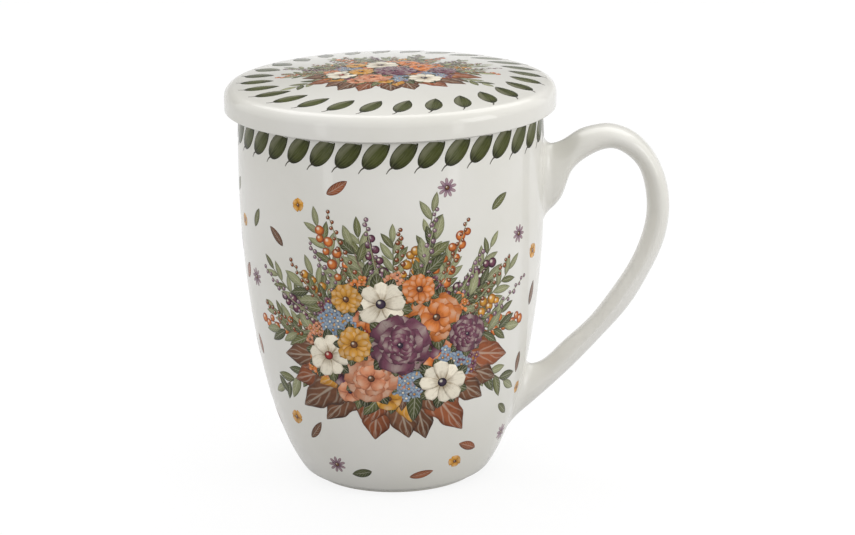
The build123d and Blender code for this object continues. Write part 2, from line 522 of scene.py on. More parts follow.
def tube(rings: Array, poles: Array) -> tuple[Array, Array]:
    """Closed skin through rings of points.

    Args:
        rings: places by ring and by step round it.
        poles: two places that the first and the last ring are closed to, by triangles.

    Returns:
        Places and quads.
    """
    rows, count = rings.shape[:2]
    size, ring = rows * count, np.arange(count)
    far = size - count + ring
    first, last = np.full(count, size), np.full(count, size + 1)
    start = np.stack([np.roll(ring, -1), ring, first, first], axis=-1)
    end = np.stack([far, np.roll(far, -1), last, last], axis=-1)
    points = np.concatenate([rings.reshape(-1, 3), poles])
    return points, np.concatenate([grid_faces(rows, count, True), start, end])


def arc(centre: Pair, radius: float, start: float, end: float, count: int) -> Array:
    """Points of a round arc between two angles in degrees, as distance from the axis and height."""
    return np.array(centre) + radius * rays(np.radians(np.linspace(start, end, count)))


def lathe(profile: Array, count: int) -> tuple[Array, Array]:
    """A profile carried once round the axis: its distance times the cosine and sine of the turn.

    Args:
        profile: distance from the axis and height of each point, from the axis back to it.
        count: steps round the axis.

    Returns:
        Places and quads, with one point where the profile meets the axis at each end.
    """
    rim = profile[1:-1]
    flat = rim[:, None, :1] * rays(np.arange(count) * TURN / count)[None]
    tall = np.broadcast_to(rim[:, None, 1:], (*flat.shape[:2], 1))
    poles = np.array([[0, 0, profile[0, 1]], [0, 0, profile[-1, 1]]])
    return tube(np.concatenate([flat, tall], axis=-1), poles)


@dataclass
class MugBody:
    """Slip-cast porcelain body, turned about Z; sizes in millimetres."""

    height: float = field(default_factory=lambda: top_of("mug_body"))
    belly_radius: float = 42.8
    belly_height: float = 88.0
    base_radius: float = 26.1
    base_round: float = 3.0
    wall: float = 3.0
    floor: float = 5.5
    floor_round: float = 8.0
    floor_share: float = 0.9
    rim_flat: float = 1.0
    foot_height: float = 1.2
    foot_inset: float = 2.3
    foot_width: float = 3.0
    foot_round: float = 0.4
    curve_share: float = 0.943
    bare_foot: float = 0.15
    print_level: float = 47.0
    steps: int = 288
    samples: int = 4000

    def __post_init__(self) -> None:
        """Work out the ellipse that the wall follows, and the rounding of the lip."""
        self.curve_height = (self.belly_height - self.foot_height) / self.curve_share
        self.curve_depth = (self.belly_radius - self.base_radius) / (1 - math.sqrt(1 - self.curve_share**2))
        self.lip = (self.wall - self.rim_flat) / 2

    def radius(self, height: Values) -> Array:
        """Outer radius at a height: the belly less the ellipse's depth times one minus its cosine."""
        sine = np.clip((height - self.belly_height) / self.curve_height, -1, 1)
        return self.belly_radius - self.curve_depth * (1 - np.sqrt(1 - sine**2))

    def skin(self, height: Array) -> Array:
        """Outer radius at a height, drawn in over the lip by the lip's rounding."""
        above = np.clip(height - (self.height - self.lip), 0, self.lip)
        return self.radius(height) - self.lip + np.sqrt(self.lip**2 - above**2)

    def rounding(self, inset: float, radius: float, level: float, side: float) -> tuple[Pair, float, float]:
        """Rounding that touches the wall's curve: its centre lies a radius from the curve, along its normal.

        Args:
            inset: how far the curve is drawn in from the outside.
            radius: radius of the rounding.
            level: height of its centre.
            side: 1 where the centre lies nearer to the axis than the curve, -1 where it lies further.

        Returns:
            The centre, the angle from it to the touching point in degrees, and that point's height.
        """
        height = np.linspace(self.foot_height, self.height, self.samples)
        slope = np.gradient(self.radius(height) - inset, height)
        middle = height + side * radius * slope / np.hypot(1, slope)
        place = float(np.interp(level, middle, height))
        lean = float(np.interp(place, height, slope))
        size = math.hypot(1, lean)
        centre = float(self.radius(place)) - inset - side * radius / size
        turn = math.degrees(math.atan2(-side * lean / size, side / size))
        return (centre, level), turn, level + radius * math.sin(math.radians(turn))

    def wall_run(self, inset: float, low: float, high: float, count: int) -> Array:
        """Points of the wall's curve between two heights, without the first."""
        height = np.linspace(low, high, count)[1:]
        return np.stack([self.radius(height) - inset, height], axis=-1)

    def profile(self) -> Array:
        """Outline from the middle of the underside round foot, wall and rim to the middle of the floor.

        The foot's corners are quarter circles. The roundings at base, lip and floor touch the wall's ellipse.

        Returns:
            Distance from the axis and height of each point.
        """
        foot_out = self.base_radius - self.foot_inset
        foot_in, small, lift = foot_out - self.foot_width, self.foot_round, self.foot_height
        floor_top, rim = lift + self.floor, self.height - self.lip
        base, base_turn, wall_low = self.rounding(0, self.base_round, lift + self.base_round, 1)
        out, out_turn, wall_high = self.rounding(0, self.lip, rim, 1)
        into, into_turn, in_high = self.rounding(self.wall, self.lip, rim, -1)
        low, low_turn, in_low = self.rounding(self.wall, self.floor_round, floor_top + self.floor_round, 1)
        return np.concatenate([
            np.linspace((0, lift), (foot_in - small, lift), 8),
            arc((foot_in - small, lift - small), small, 90, 0, 5),
            arc((foot_in + small, small), small, 180, 270, 5),
            np.linspace((foot_in + 2 * small, 0), (foot_out - 2 * small, 0), 4),
            arc((foot_out - small, small), small, -90, 0, 5),
            arc((foot_out + small, lift - small), small, 180, 90, 5),
            arc(base, self.base_round, -90, base_turn, 12),
            self.wall_run(0, wall_low, wall_high, 120),
            arc(out, self.lip, out_turn, 90, 10)[1:],
            arc(into, self.lip, 90, into_turn, 10),
            self.wall_run(self.wall, in_high, in_low, 90),
            arc(low, self.floor_round, low_turn, -90, 14)[1:],
            np.linspace((low[0] * self.floor_share, floor_top), (0, floor_top), 8),
        ])

    def place(self, flat: Array, lift: Array, turn: float, level: float) -> Array:
        """Marks of the print laid on the wall, raised by their lift.

        Args:
            flat: places right and up from the print's middle.
            lift: how far each place stands off the wall.
            turn: angle of the print's middle about Z, in radians.
            level: height of the print's middle.

        Returns:
            Places in millimetres: the angle goes by the distance over the wall's radius at that height.
        """
        height = level + flat[..., 1]
        angle = turn + flat[..., 0] / self.radius(height)
        ring = (self.skin(height) + lift)[..., None] * rays(angle)
        return np.concatenate([ring, height[..., None]], axis=-1)

    def build(self) -> None:
        """Make and dress the body."""
        piece = put_mesh("mug_porcelain", *lathe(self.profile(), self.steps))
        glaze = Glaze("mug_glaze", bare_below=self.bare_foot * MM)
        dress(piece, glaze.material(), "mug", "body_glaze", "mug_body")


def smooth_keys(keys: Array, knots: Array, places: Array) -> Array:
    """Natural cubic spline: curve through keys at knots whose bend is continuous and ends straight.

    Args:
        keys: one row of values per knot.
        knots: rising numbers.
        places: where to read the curve.

    Returns:
        One row of values per place.
    """
    step = np.diff(knots)
    count = len(knots)
    matrix = np.eye(count)
    inner = np.arange(1, count - 1)
    matrix[inner, inner - 1] = step[:-1]
    matrix[inner, inner] = 2 * (step[:-1] + step[1:])
    matrix[inner, inner + 1] = step[1:]
    right = np.zeros_like(keys)
    right[1:-1] = 6 * np.diff(np.diff(keys, axis=0) / step[:, None], axis=0)
    bend = np.linalg.solve(matrix, right)
    span = np.clip(np.searchsorted(knots, places) - 1, 0, count - 2)
    after, before = (knots[span + 1] - places)[:, None], (places - knots[span])[:, None]
    size = step[span][:, None]
    ends = (bend[span] * after**3 + bend[span + 1] * before**3) / (6 * size)
    near = (keys[span] / size - bend[span] * size / 6) * after
    far = (keys[span + 1] / size - bend[span + 1] * size / 6) * before
    return ends + near + far


@dataclass
class Handle:
    """Ear-shaped handle luted to the wall; sizes in millimetres, places as shares of reach and height."""

    mug: MugBody
    reach: float = 35.39
    drop: float = 6.0
    low: float = 13.5
    width: float = 12.0
    fillet: float = 2.6
    seam: float = 0.05
    run_on: float = 0.35
    sunk: float = 1.2
    ridge_lean: Pair = (0.13, -0.22)
    ridge_power: float = 0.62
    ridge_middle: float = 0.7
    ridge_spread: float = 0.17
    end_share: float = 0.09
    rows: int = 260
    columns: int = 80
    outer_shares: tuple[Pair, ...] = (
        (-0.08, 0.946), (0.05, 0.939), (0.169, 0.955), (0.286, 0.984), (0.412, 0.998), (0.544, 1.0),
        (0.715, 0.973), (0.867, 0.907), (0.963, 0.82), (1.0, 0.723), (0.973, 0.613), (0.885, 0.507),
        (0.762, 0.396), (0.587, 0.292), (0.416, 0.198), (0.236, 0.108), (0.095, 0.038), (-0.043, -0.03),
    )
    inner_shares: tuple[Pair, ...] = (
        (-0.08, 0.698), (0.04, 0.718), (0.14, 0.766), (0.2, 0.84), (0.315, 0.89), (0.505, 0.923),
        (0.65, 0.901), (0.75, 0.855), (0.805, 0.784), (0.823, 0.708), (0.797, 0.627), (0.722, 0.534),
        (0.594, 0.434), (0.434, 0.331), (0.266, 0.257), (0.133, 0.196), (0.031, 0.185), (-0.09, 0.182),
    )
    width_shares: tuple[float, ...] = (
        1.1, 1.05, 1.05, 1.03, 1.01, 1.0, 1.0, 1.0, 1.0, 1.0, 1.0, 1.0, 1.0, 1.0, 1.0, 1.02, 1.06, 1.1,
    )

    def edge(self, shares: tuple[Pair, ...]) -> Array:
        """Keys of an edge in the plane of the handle: out from the wall by the reach, up by the height.

        Args:
            shares: shares of reach and height of each key.

        Returns:
            Distance from the axis and height of each key.
        """
        share = np.array(shares)
        height = self.low + share[:, 1] * (self.mug.height - self.drop - self.low)
        return np.stack([self.mug.radius(height) + share[:, 0] * self.reach, height], axis=-1)

    def ovals(self) -> tuple[Array, Array]:
        """Ovals carried along the handle, each of which spans the outer and the inner edge.

        Round an oval, a point goes by the cosine along the span and by the sine across it. Along the lower
        arm the cosine is raised to a power, which draws a soft ridge, and a parabola leans the oval to one
        edge. Rows lie closer together near the roots.

        Returns:
            Middle of each oval, and steps from it by row along the handle and column round it.
        """
        outer, inner = self.edge(self.outer_shares), self.edge(self.inner_shares)
        knots = np.concatenate([[0], np.cumsum(np.hypot(*np.diff((outer + inner) / 2, axis=0).T))])
        half = np.array(self.width_shares)[:, None] * self.width / 2
        ease = np.linspace(0, 1, self.rows)
        ease = ease - self.end_share * np.sin(TURN * ease)
        values = smooth_keys(np.concatenate([outer, inner, half], axis=1), knots, ease * knots[-1])
        middle, span = (values[:, :2] + values[:, 2:4]) / 2, (values[:, :2] - values[:, 2:4]) / 2
        turn = np.arange(self.columns) * TURN / self.columns
        arm = np.exp(-(((ease - self.ridge_middle) / self.ridge_spread) ** 2))[:, None]
        along = np.sign(np.cos(turn)) * np.abs(np.cos(turn)) ** (1 + self.ridge_power * arm)
        along = along + (self.ridge_lean[0] * (1 - arm) + self.ridge_lean[1] * arm) * (1 - along**2)
        steps = np.stack([span[:, :1] * along, values[:, 4:] * np.sin(turn), span[:, 1:] * along], axis=-1)
        return np.stack([middle[:, 0], np.zeros(self.rows), middle[:, 1]], axis=-1)[:, None], steps

    def surface(self) -> Array:
        """Skin of the handle, flared where it nears the wall.

        A point that lies nearer to the wall than the fillet's radius moves out from its oval's middle, along
        the wall, by that radius less the leg of a quarter circle. Below the seam it runs on straight into the
        wall, so the skin meets the wall along a hollow fillet.

        Returns:
            Places by row along the handle and column round it.
        """
        centre, steps = self.ovals()
        skin = centre + steps
        clear = np.hypot(skin[..., 0], skin[..., 1]) - self.mug.radius(skin[..., 2])
        kept = np.clip(clear, self.seam, self.fillet)
        near = self.fillet - kept
        leg = np.sqrt(self.fillet**2 - near**2)
        flare = self.fillet - leg + np.clip(kept - clear, 0, self.run_on) * near / leg
        skin = skin + flare[..., None] * steps / np.linalg.norm(steps, axis=-1, keepdims=True)
        away = self.mug.radius(skin[..., 2]) + np.maximum(clear, -self.sunk)
        skin[..., :2] *= (away / np.hypot(skin[..., 0], skin[..., 1]))[..., None]
        return skin

    def build(self) -> None:
        """Make and dress the handle, with its ends closed inside the wall."""
        skin = self.surface()
        piece = put_mesh("handle_porcelain", *tube(skin, np.stack([skin[0].mean(0), skin[-1].mean(0)])))
        dress(piece, Glaze("handle_glaze").material(), "mug", "handle_glaze", "handle")


@dataclass
class Lid:
    """Loose domed porcelain lid; sizes in millimetres. Its top lies a print's thickness below the frame's."""

    top: float = field(default_factory=lambda: top_of("lid"))
    radius: float = field(default_factory=lambda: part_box("lid")[1].x / MM)
    thickness: float = 6.6
    dome: float = 3.6
    top_round: float = 3.2
    edge_round: float = 0.35
    hollow: float = 2.5
    ring_radius: float = 36.85
    ring_wall: float = 3.0
    ring_depth: float = 5.0
    ring_round: float = 0.8
    print_depth: float = 0.2
    print_layer: float = 0.0012
    touch_gap: float = 0.4
    steps: int = 288

    def __post_init__(self) -> None:
        """Work out the sphere that the top follows and the height of the lid's underside."""
        self.sphere = (self.radius**2 + self.dome**2) / (2 * self.dome)
        self.centre = self.top - self.print_depth - self.sphere
        self.bottom = self.top - self.dome - self.thickness

    def face(self, radius: Array) -> Array:
        """Height of the top's sphere at a distance from the axis."""
        return self.centre + np.sqrt(self.sphere**2 - radius**2)

    def profile(self) -> Array:
        """Outline from the middle of the hollow round the ring and the edge to the middle of the top.

        The hollow's ceiling rises by the dome's own curve. The top's edge is an arc that touches the upright
        side and the sphere from within.

        Returns:
            Distance from the axis and height of each point.
        """
        bottom, foot, small = self.bottom, self.bottom - self.ring_depth, self.ring_round
        inner, edge = self.ring_radius - self.ring_wall, self.edge_round
        under = np.linspace(0, inner - 2 * small, 12)
        ceiling = bottom + self.hollow + self.dome * (inner**2 - under**2) / self.radius**2
        side = self.radius - self.top_round
        rise = math.sqrt((self.sphere - self.top_round) ** 2 - side**2)
        touch = math.degrees(math.atan2(rise, side))
        reach = side * self.sphere / (self.sphere - self.top_round) - self.touch_gap
        over = np.linspace(reach, 0, 32)
        return np.concatenate([
            np.stack([under, ceiling], axis=-1),
            arc((inner - small, bottom + self.hollow - small), small, 90, 0, 6),
            arc((inner + small, foot + small), small, 180, 270, 6),
            arc((self.ring_radius - small, foot + small), small, -90, 0, 6),
            arc((self.ring_radius + small, bottom - small), small, 180, 90, 6),
            np.linspace((self.ring_radius + 2 * small, bottom), (self.radius - 2 * edge, bottom), 8),
            arc((self.radius - edge, bottom + edge), edge, -90, 0, 8),
            arc((side, self.centre + rise), self.top_round, 0, touch, 16),
            np.stack([over, self.face(over)], axis=-1),
        ])

    def build(self) -> None:
        """Make and dress the lid."""
        piece = put_mesh("lid_porcelain", *lathe(self.profile(), self.steps))
        dress(piece, Glaze("lid_glaze").material(), "lid", "lid_glaze", "lid")

    def place(self, flat: Array, lift: Array) -> Array:
        """Marks of the print laid on the lid's top, each raised by its lift."""
        height = self.face(np.hypot(flat[..., 0], flat[..., 1])) + lift
        return np.concatenate([flat, height[..., None]], axis=-1)


@dataclass(frozen=True)
class Pigment:
    """Two tones of one painted colour, as 0 to 255 screen values."""

    tint: Colour
    deep: Colour


class Tone(Enum):
    """Colours of the print."""

    CREAM = Pigment((236, 227, 208), (146, 128, 100))
    ORANGE = Pigment((214, 126, 62), (140, 60, 28))
    CORAL = Pigment((212, 142, 106), (148, 76, 50))
    OCHRE = Pigment((208, 150, 60), (136, 82, 30))
    PLUM = Pigment((118, 70, 88), (48, 25, 37))
    MAUVE = Pigment((146, 116, 130), (82, 58, 72))
    BLUE = Pigment((136, 155, 176), (56, 75, 106))
    INK = Pigment((68, 54, 72), (32, 25, 37))
    CRIMSON = Pigment((158, 54, 48), (90, 25, 28))
    RUST = Pigment((150, 86, 55), (78, 41, 27))
    BROWN = Pigment((118, 79, 57), (54, 33, 24))
    SAGE = Pigment((148, 150, 112), (84, 88, 58))
    OLIVE = Pigment((106, 109, 67), (51, 55, 31))
    FERN = Pigment((84, 89, 55), (35, 39, 22))
    BORDER = Pigment((70, 75, 30), (23, 25, 8))
    BARK = Pigment((44, 40, 30), (22, 19, 13))


Tones = Sequence[Tone]


@dataclass
class Marks:
    """Painted marks of one brush: flat grids in millimetres, with lifts, colours and the brush's count."""

    brush: Brush
    flat: Array
    mark: Array
    lift: Array
    tint: Array
    deep: Array
    count: Array

    def shell(self, place: Laying, depth: float) -> tuple[Array, Array, int]:
        """Closed thin shells: each grid on the ware, a copy of it sunk by the depth, and a skirt between.

        Args:
            place: lays flat places on the ware at a lift.
            depth: how far the copy lies below the mark, in millimetres.

        Returns:
            Places, quads and the number of quads that belong to the upper sides, which come first.
        """
        count, rows, columns = self.flat.shape[:3]
        lift = self.lift[:, None, None]
        both = np.stack([place(self.flat, lift), place(self.flat, lift - depth)], axis=1)
        size = rows * columns
        face = grid_faces(rows, columns)[:, [0, 3, 2, 1]]
        index = np.arange(size).reshape(rows, columns)
        loop = np.concatenate([index[0, :-1], index[:-1, -1], index[-1, :0:-1], index[:0:-1, 0]])
        after = np.roll(loop, -1)
        skirt = np.stack([loop, after, after + size, loop + size], axis=-1)
        start = (np.arange(count) * 2 * size)[:, None, None]
        tops = (face[None] + start).reshape(-1, 4)
        rest = (np.concatenate([face[:, ::-1] + size, skirt])[None] + start).reshape(-1, 4)
        return both.reshape(-1, 3), np.concatenate([tops, rest]), len(tops)

    def spread(self, values: Array) -> Array:
        """One row for each point of the shells from one row for each mark."""
        rows, columns = self.flat.shape[1:3]
        return np.repeat(values, 2 * rows * columns, axis=0)

    def marking(self) -> Array:
        """The brush's own coordinates for each point of the shells."""
        single = np.concatenate([self.mark.reshape(-1, 2)] * 2)
        return np.tile(single, (len(self.flat), 1))


def oval(count: int, half: Pair, span: Pair) -> tuple[Array, Array]:
    """Places on an oval between two angles in degrees, and those angles in radians."""
    turn = np.radians(np.linspace(*span, count))
    return rays(turn) * half, turn


def spiral(count: int, half: Pair, first: float = 0.5, start: float = 0.0) -> tuple[Array, Array]:
    """Places spread evenly over an oval: each turns on by the golden angle, and its reach goes by a root.

    Args:
        count: number of places.
        half: half width and half height of the oval.
        first: rank that the reach starts from, with 0 in the very middle.
        start: angle of the first place, in radians.

    Returns:
        The places and their angles.
    """
    rank = np.arange(count)
    turn, reach = rank * GOLDEN_ANGLE + start, np.sqrt((rank + first) / count)
    return np.stack([half[0] * reach * np.cos(turn), half[1] * reach * np.sin(turn)], axis=-1), turn


@dataclass
class Growth:
    """Bowed lines that marks grow along: one row, or one value for all, of foot, direction, length and bow.

    Directions are in radians, lengths in millimetres, and a bow is a share of the length.
    """

    place: Array
    turn: Values
    length: Values
    bend: Values

    def columns(self) -> tuple[Array, ...]:
        """Direction, length and bow of each line."""
        return tuple(np.broadcast_to(v, len(self.place)) for v in (self.turn, self.length, self.bend))

    def sweep(self, shares: Array) -> tuple[Array, Array]:
        """Places on the lines: along by the share of the length, aside by the bend times its square.

        Args:
            shares: shares of the length.

        Returns:
            Places and headings, by line and share.
        """
        turn, length, bend = (v[:, None] for v in self.columns())
        right, up = length * shares, length * bend * shares**2
        cosine, sine = np.cos(turn), np.sin(turn)
        points = np.stack([right * cosine - up * sine, right * sine + up * cosine], axis=-1)
        return points + self.place[:, None], turn + np.arctan(2 * bend * shares)


@dataclass(frozen=True)
class Fan:
    """Stems that fan out from an oval, with lengths that swing from stem to stem.

    Attributes:
        count: number of stems.
        half: half width and half height of the oval, in millimetres.
        span: first and last angle on the oval, in degrees.
        length: mean length and its swing, in millimetres.
        step: step of the swing from stem to stem, in radians.
        bow: bow of a level stem, as a share of its length.
        curve: curve that the swing follows.
        lean: added to each direction, in radians.
    """

    count: int
    half: Pair
    span: Pair
    length: Pair
    step: float
    bow: float
    curve: Callable[[Array], Array] = np.sin
    lean: float = 0.0

    def lines(self) -> Growth:
        """Lines of the stems.

        Returns:
            Lines whose bow goes by the cosine of their direction, so that upright ones are straight.
        """
        foot, turn = oval(self.count, self.half, self.span)
        length = self.length[0] + self.length[1] * self.curve(np.arange(self.count) * self.step)
        return Growth(foot, turn + self.lean, length, self.bow * np.cos(turn))


@dataclass(frozen=True)
class Spans:
    """How far leaves vary by chance.

    Attributes:
        lean: sway of the direction, in radians.
        length: range of the length, in millimetres.
        width: range of the width, in millimetres.
        bow: sway of the bow, as a share of the length.
    """

    lean: float
    length: Pair
    width: Pair
    bow: float


@dataclass(frozen=True)
class LeafLook:
    """How leaves are drawn.

    Attributes:
        shape: powers of the outline at the foot and at the tip.
        teeth: number of lobes, and their depth as a share of the width.
        grid: points along a leaf and across it.
        brush: kind of mark.
        dim: share of light.
    """

    shape: Pair = (0.62, 0.85)
    teeth: Pair = (0, 0.0)
    grid: tuple[int, int] = (17, 9)
    brush: Brush = Brush.LEAF
    dim: float = 1.0

    def half(self, share: Array) -> Array:
        """Outline: the share to one power times its rest to another, with a sine wave for lobes.

        Args:
            share: shares of the length.

        Returns:
            Half widths over the greatest one.
        """
        foot, tip = self.shape
        peak = foot / (foot + tip)
        plain = share**foot * (1 - share) ** tip / (peak**foot * (1 - peak) ** tip)
        return plain * (1 + self.teeth[1] * np.sin(TURN * self.teeth[0] * share))


@dataclass(frozen=True)
class DiscLook:
    """How round marks are drawn.

    Attributes:
        grid: points along a side of the grid.
        petals: number of petals, none for a plain disc.
        notch: depth of the edge between petals, as a share of the radius.
        brush: kind of mark.
        petal_power: power of the wave that rounds the petals.
    """

    grid: int
    petals: int = 0
    notch: float = 0.0
    brush: Brush = Brush.PETAL
    petal_power: float = 0.7


LEAST_HALF = 0.03
SMALL_LEAF = (11, 5)
TINY_BERRY, SMALL_BERRY, BERRY = (DiscLook(grid, brush=Brush.BERRY) for grid in (5, 7, 9))


@dataclass(frozen=True)
class Flower:
    """How open flowers are drawn.

    Attributes:
        petals: petals in a ring.
        tones: colours, by flower.
        heart: colours of the buttons.
        rings: number of rings.
        broad: width of a petal over its share of the ring.
        button: radius of the button over the flower's.
        shrink: size of a ring over the one below.
        light: light of the top ring, and its fall from ring to ring.
        lengths: range of the petals' length.
        widths: range of their width.
        lean: sway of their direction, in radians.
        bow: sway of their bow.
        kinds: range of the number that tells one petal's streaks from another's.
        blade: look of a petal.
    """

    petals: int
    tones: Tones
    heart: Tones
    rings: int = 1
    broad: float = 1.15
    button: float = 0.2
    shrink: float = 0.74
    light: Pair = (1.04, 0.13)
    lengths: Pair = (0.92, 1.08)
    widths: Pair = (0.9, 1.1)
    lean: float = 0.1
    bow: float = 0.06
    kinds: Pair = (0, 9)
    blade: LeafLook = LeafLook((0.75, 0.32), grid=(9, 7), brush=Brush.BLADE)


@dataclass
class Painter:
    """Lays marks over one another, each one thin layer above whatever it covers; sizes in millimetres.

    Attributes:
        seed: seed of its own chance.
        layer: thickness of a layer.
        base: height over the glaze that the layers are counted from.
        cell: side of a cell of the map of layers.
        reach: cells from the map's middle to its edge.
        stride: marks that are laid in one go are so many apart.
        values: range of lightness by chance.
        stem_points: points along a stem.
        stem_tip: width of a stem's tip over its foot's.
        spray_stem: width of a spray's stem.
        spray_start: share of a spray's stem where its leaflets start.
        spray_angle: angle between stem and leaflet, in radians.
        spray_sizes: size of the leaflets at the foot, and its fall along the stem.
        spray_chance: range of the leaflets' size.
        spray_sway: sway of their direction, in radians.
        spray_bow: sway of their bow.
        spray_leaf: look of the leaflets.
        sprig_stem: width of a sprig's stem.
        sprig_start: share of a sprig's stem where its berries start.
        stalk_width: width of a berry's stalk.
        stalks: length of the first and the last stalk over a berry's radius.
        berries: range of the berries' radius.
    """

    seed: int
    layer: float = 0.003
    base: float = 0.016
    cell: float = 0.8
    reach: int = 180
    stride: int = 3
    values: Pair = (0.86, 1.12)
    stem_points: int = 17
    stem_tip: float = 0.45
    spray_stem: float = 0.7
    spray_start: float = 0.3
    spray_angle: float = 0.6
    spray_sizes: Pair = (1.1, 0.35)
    spray_chance: Pair = (0.85, 1.15)
    spray_sway: float = 0.12
    spray_bow: float = 0.1
    spray_leaf: LeafLook = LeafLook((0.8, 0.95), grid=SMALL_LEAF)
    sprig_stem: float = 0.5
    sprig_start: float = 0.45
    stalk_width: float = 0.3
    stalks: Pair = (2.2, 0.4)
    berries: Pair = (0.8, 1.2)

    def __post_init__(self) -> None:
        """Start with no marks and a bare map of layers."""
        self.chance = np.random.default_rng(self.seed)
        self.map = np.zeros((2 * self.reach, 2 * self.reach), int)
        self.marks: list[Marks] = []

    def layers(self, flat: Array) -> Array:
        """Layer of each mark: one above the highest layer on the map's cells that its points meet.

        Marks a stride apart are laid first, then the ones after them, so that a row of overlapping marks
        stays thin.

        Args:
            flat: grids by mark, row and column.

        Returns:
            Layer of each mark, the lowest being 1.
        """
        cell = np.floor(flat.reshape(len(flat), -1, 2) / self.cell).astype(int) + self.reach
        cell = np.clip(cell, 0, 2 * self.reach - 1)
        found = np.empty(len(flat), int)
        for rank in np.argsort(np.arange(len(flat)) % self.stride, kind="stable"):
            right, up = cell[rank].T
            found[rank] = self.map[up, right].max() + 1
            self.map[up, right] = found[rank]
        return found

    def vary(self, count: int, low: float, high: float) -> Array:
        """Even chance between two values."""
        return self.chance.uniform(low, high, count)

    def sway(self, count: int, size: float) -> Array:
        """Even chance about nought."""
        return self.vary(count, -size, size)

    def add(self, brush: Brush, flat: Array, mark: Array, tones: Tones, number: Values = 0.0,
            dim: float = 1.0) -> None:
        """Keep a group of marks, in tones taken in turn and made a little lighter or darker by chance.

        Args:
            brush: kind of mark.
            flat: grids by mark, row and column.
            mark: the brush's coordinates on one grid.
            tones: colours, used in turn.
            number: the brush's count for each mark.
            dim: share of light on the whole group.
        """
        count = len(flat)
        turn = np.arange(count) % len(tones)
        value = self.vary(count, *self.values)[:, None] * dim
        tint = np.array([linear(tone.value.tint) for tone in tones])[turn] * value
        deep = np.array([linear(tone.value.deep) for tone in tones])[turn] * value
        lift = self.base + self.layers(flat) * self.layer
        number = np.broadcast_to(number, count).astype(float)
        self.marks.append(Marks(brush, flat, mark, lift, tint, deep, number))

    @staticmethod
    def turned(flat: Array, turn: Array, place: Array) -> Array:
        """Grids turned by the cosine and sine of an angle each, and moved to their places.

        Args:
            flat: grids by mark, row and column.
            turn: angle of each mark, in radians.
            place: where the origin of each grid goes.

        Returns:
            The moved grids.
        """
        cosine, sine = (f(turn)[:, None, None] for f in (np.cos, np.sin))
        right = flat[..., 0] * cosine - flat[..., 1] * sine
        up = flat[..., 0] * sine + flat[..., 1] * cosine
        return np.stack([right, up], axis=-1) + place[:, None, None]

    def leaves(self, growth: Growth, width: Values, tones: Tones, look: LeafLook = LeafLook(),
               number: Values = 0.0) -> None:
        """Leaves along lines.

        A point goes along its line by its share of the length and across it by half the width times the
        look's outline; the line bows by the bend times the square of the share.

        Args:
            growth: lines of the leaves.
            width: greatest width of each leaf.
            tones: colours.
            look: outline, grid and brush.
            number: 1 for lengthwise veins, or a petal's own number.
        """
        turn, length, bend = (v[:, None, None] for v in growth.columns())
        wide = np.broadcast_to(width, len(turn))[:, None, None]
        rows, columns = look.grid
        along, across = np.meshgrid(np.linspace(0, 1, rows), np.linspace(-1, 1, columns), indexing="ij")
        half = np.maximum(look.half(along), LEAST_HALF)
        up = wide / 2 * half * across + bend * length * along**2
        mark = np.stack([along, across / 2 + 0.5], axis=-1)
        flat = self.turned(np.stack([length * along, up], axis=-1), turn[:, 0, 0], growth.place)
        self.add(look.brush, flat, mark, tones, number, look.dim)

    def foliage(self, place: Array, turn: Array, spans: Spans, tones: Tones,
                look: LeafLook = LeafLook()) -> None:
        """Leaves whose direction, length, width and bow vary by chance.

        Args:
            place: foot of each leaf.
            turn: direction of each leaf, in radians.
            spans: how far they vary.
            tones: colours.
            look: outline, grid and brush.
        """
        count = len(place)
        turn = turn + self.sway(count, spans.lean)
        length, width = self.vary(count, *spans.length), self.vary(count, *spans.width)
        self.leaves(Growth(place, turn, length, self.sway(count, spans.bow)), width, tones, look)

    def discs(self, place: Array, radius: Values, tones: Tones, look: DiscLook, turn: Values = 0.0) -> None:
        """Round marks, with petals where the look has them.

        A square grid is pressed into a disc, each side by the root of one less half the other's square. The
        edge is drawn in between petals by the notch times one less a power of the petal wave's cosine.

        Args:
            place: middle of each mark.
            radius: radius of each mark.
            tones: colours.
            look: grid, petals and brush.
            turn: angle of each mark.
        """
        radius, turn = (np.broadcast_to(v, len(place)) for v in (radius, turn))
        side = np.linspace(-1, 1, look.grid)
        down, over = np.meshgrid(side, side, indexing="ij")
        right, up = over * np.sqrt(1 - down**2 / 2), down * np.sqrt(1 - over**2 / 2)
        wave = np.abs(np.cos(look.petals * np.arctan2(up, right) / 2)) ** look.petal_power
        size = radius[:, None, None] * (1 - look.notch * (1 - wave) * np.hypot(right, up))
        flat = self.turned(np.stack([right * size, up * size], axis=-1), turn, place)
        self.add(look.brush, flat, np.stack([right, up], axis=-1) / 2 + 0.5, tones, look.petals)

    def florets(self, place: Array, radius: Pair, tones: Tones, look: DiscLook, spin: float, eye: float,
                eyes: Tones, eye_look: DiscLook = TINY_BERRY) -> None:
        """Small round flowers with an eye each.

        Args:
            place: middle of each floret.
            radius: range of the radius.
            tones: colours.
            look: grid and petals.
            spin: greatest angle by chance, in radians.
            eye: radius of the eyes.
            eyes: colours of the eyes.
            eye_look: grid of the eyes.
        """
        size = self.vary(len(place), *radius)
        self.discs(place, size, tones, look, self.vary(len(place), 0, spin))
        self.discs(place, eye, eyes, eye_look)

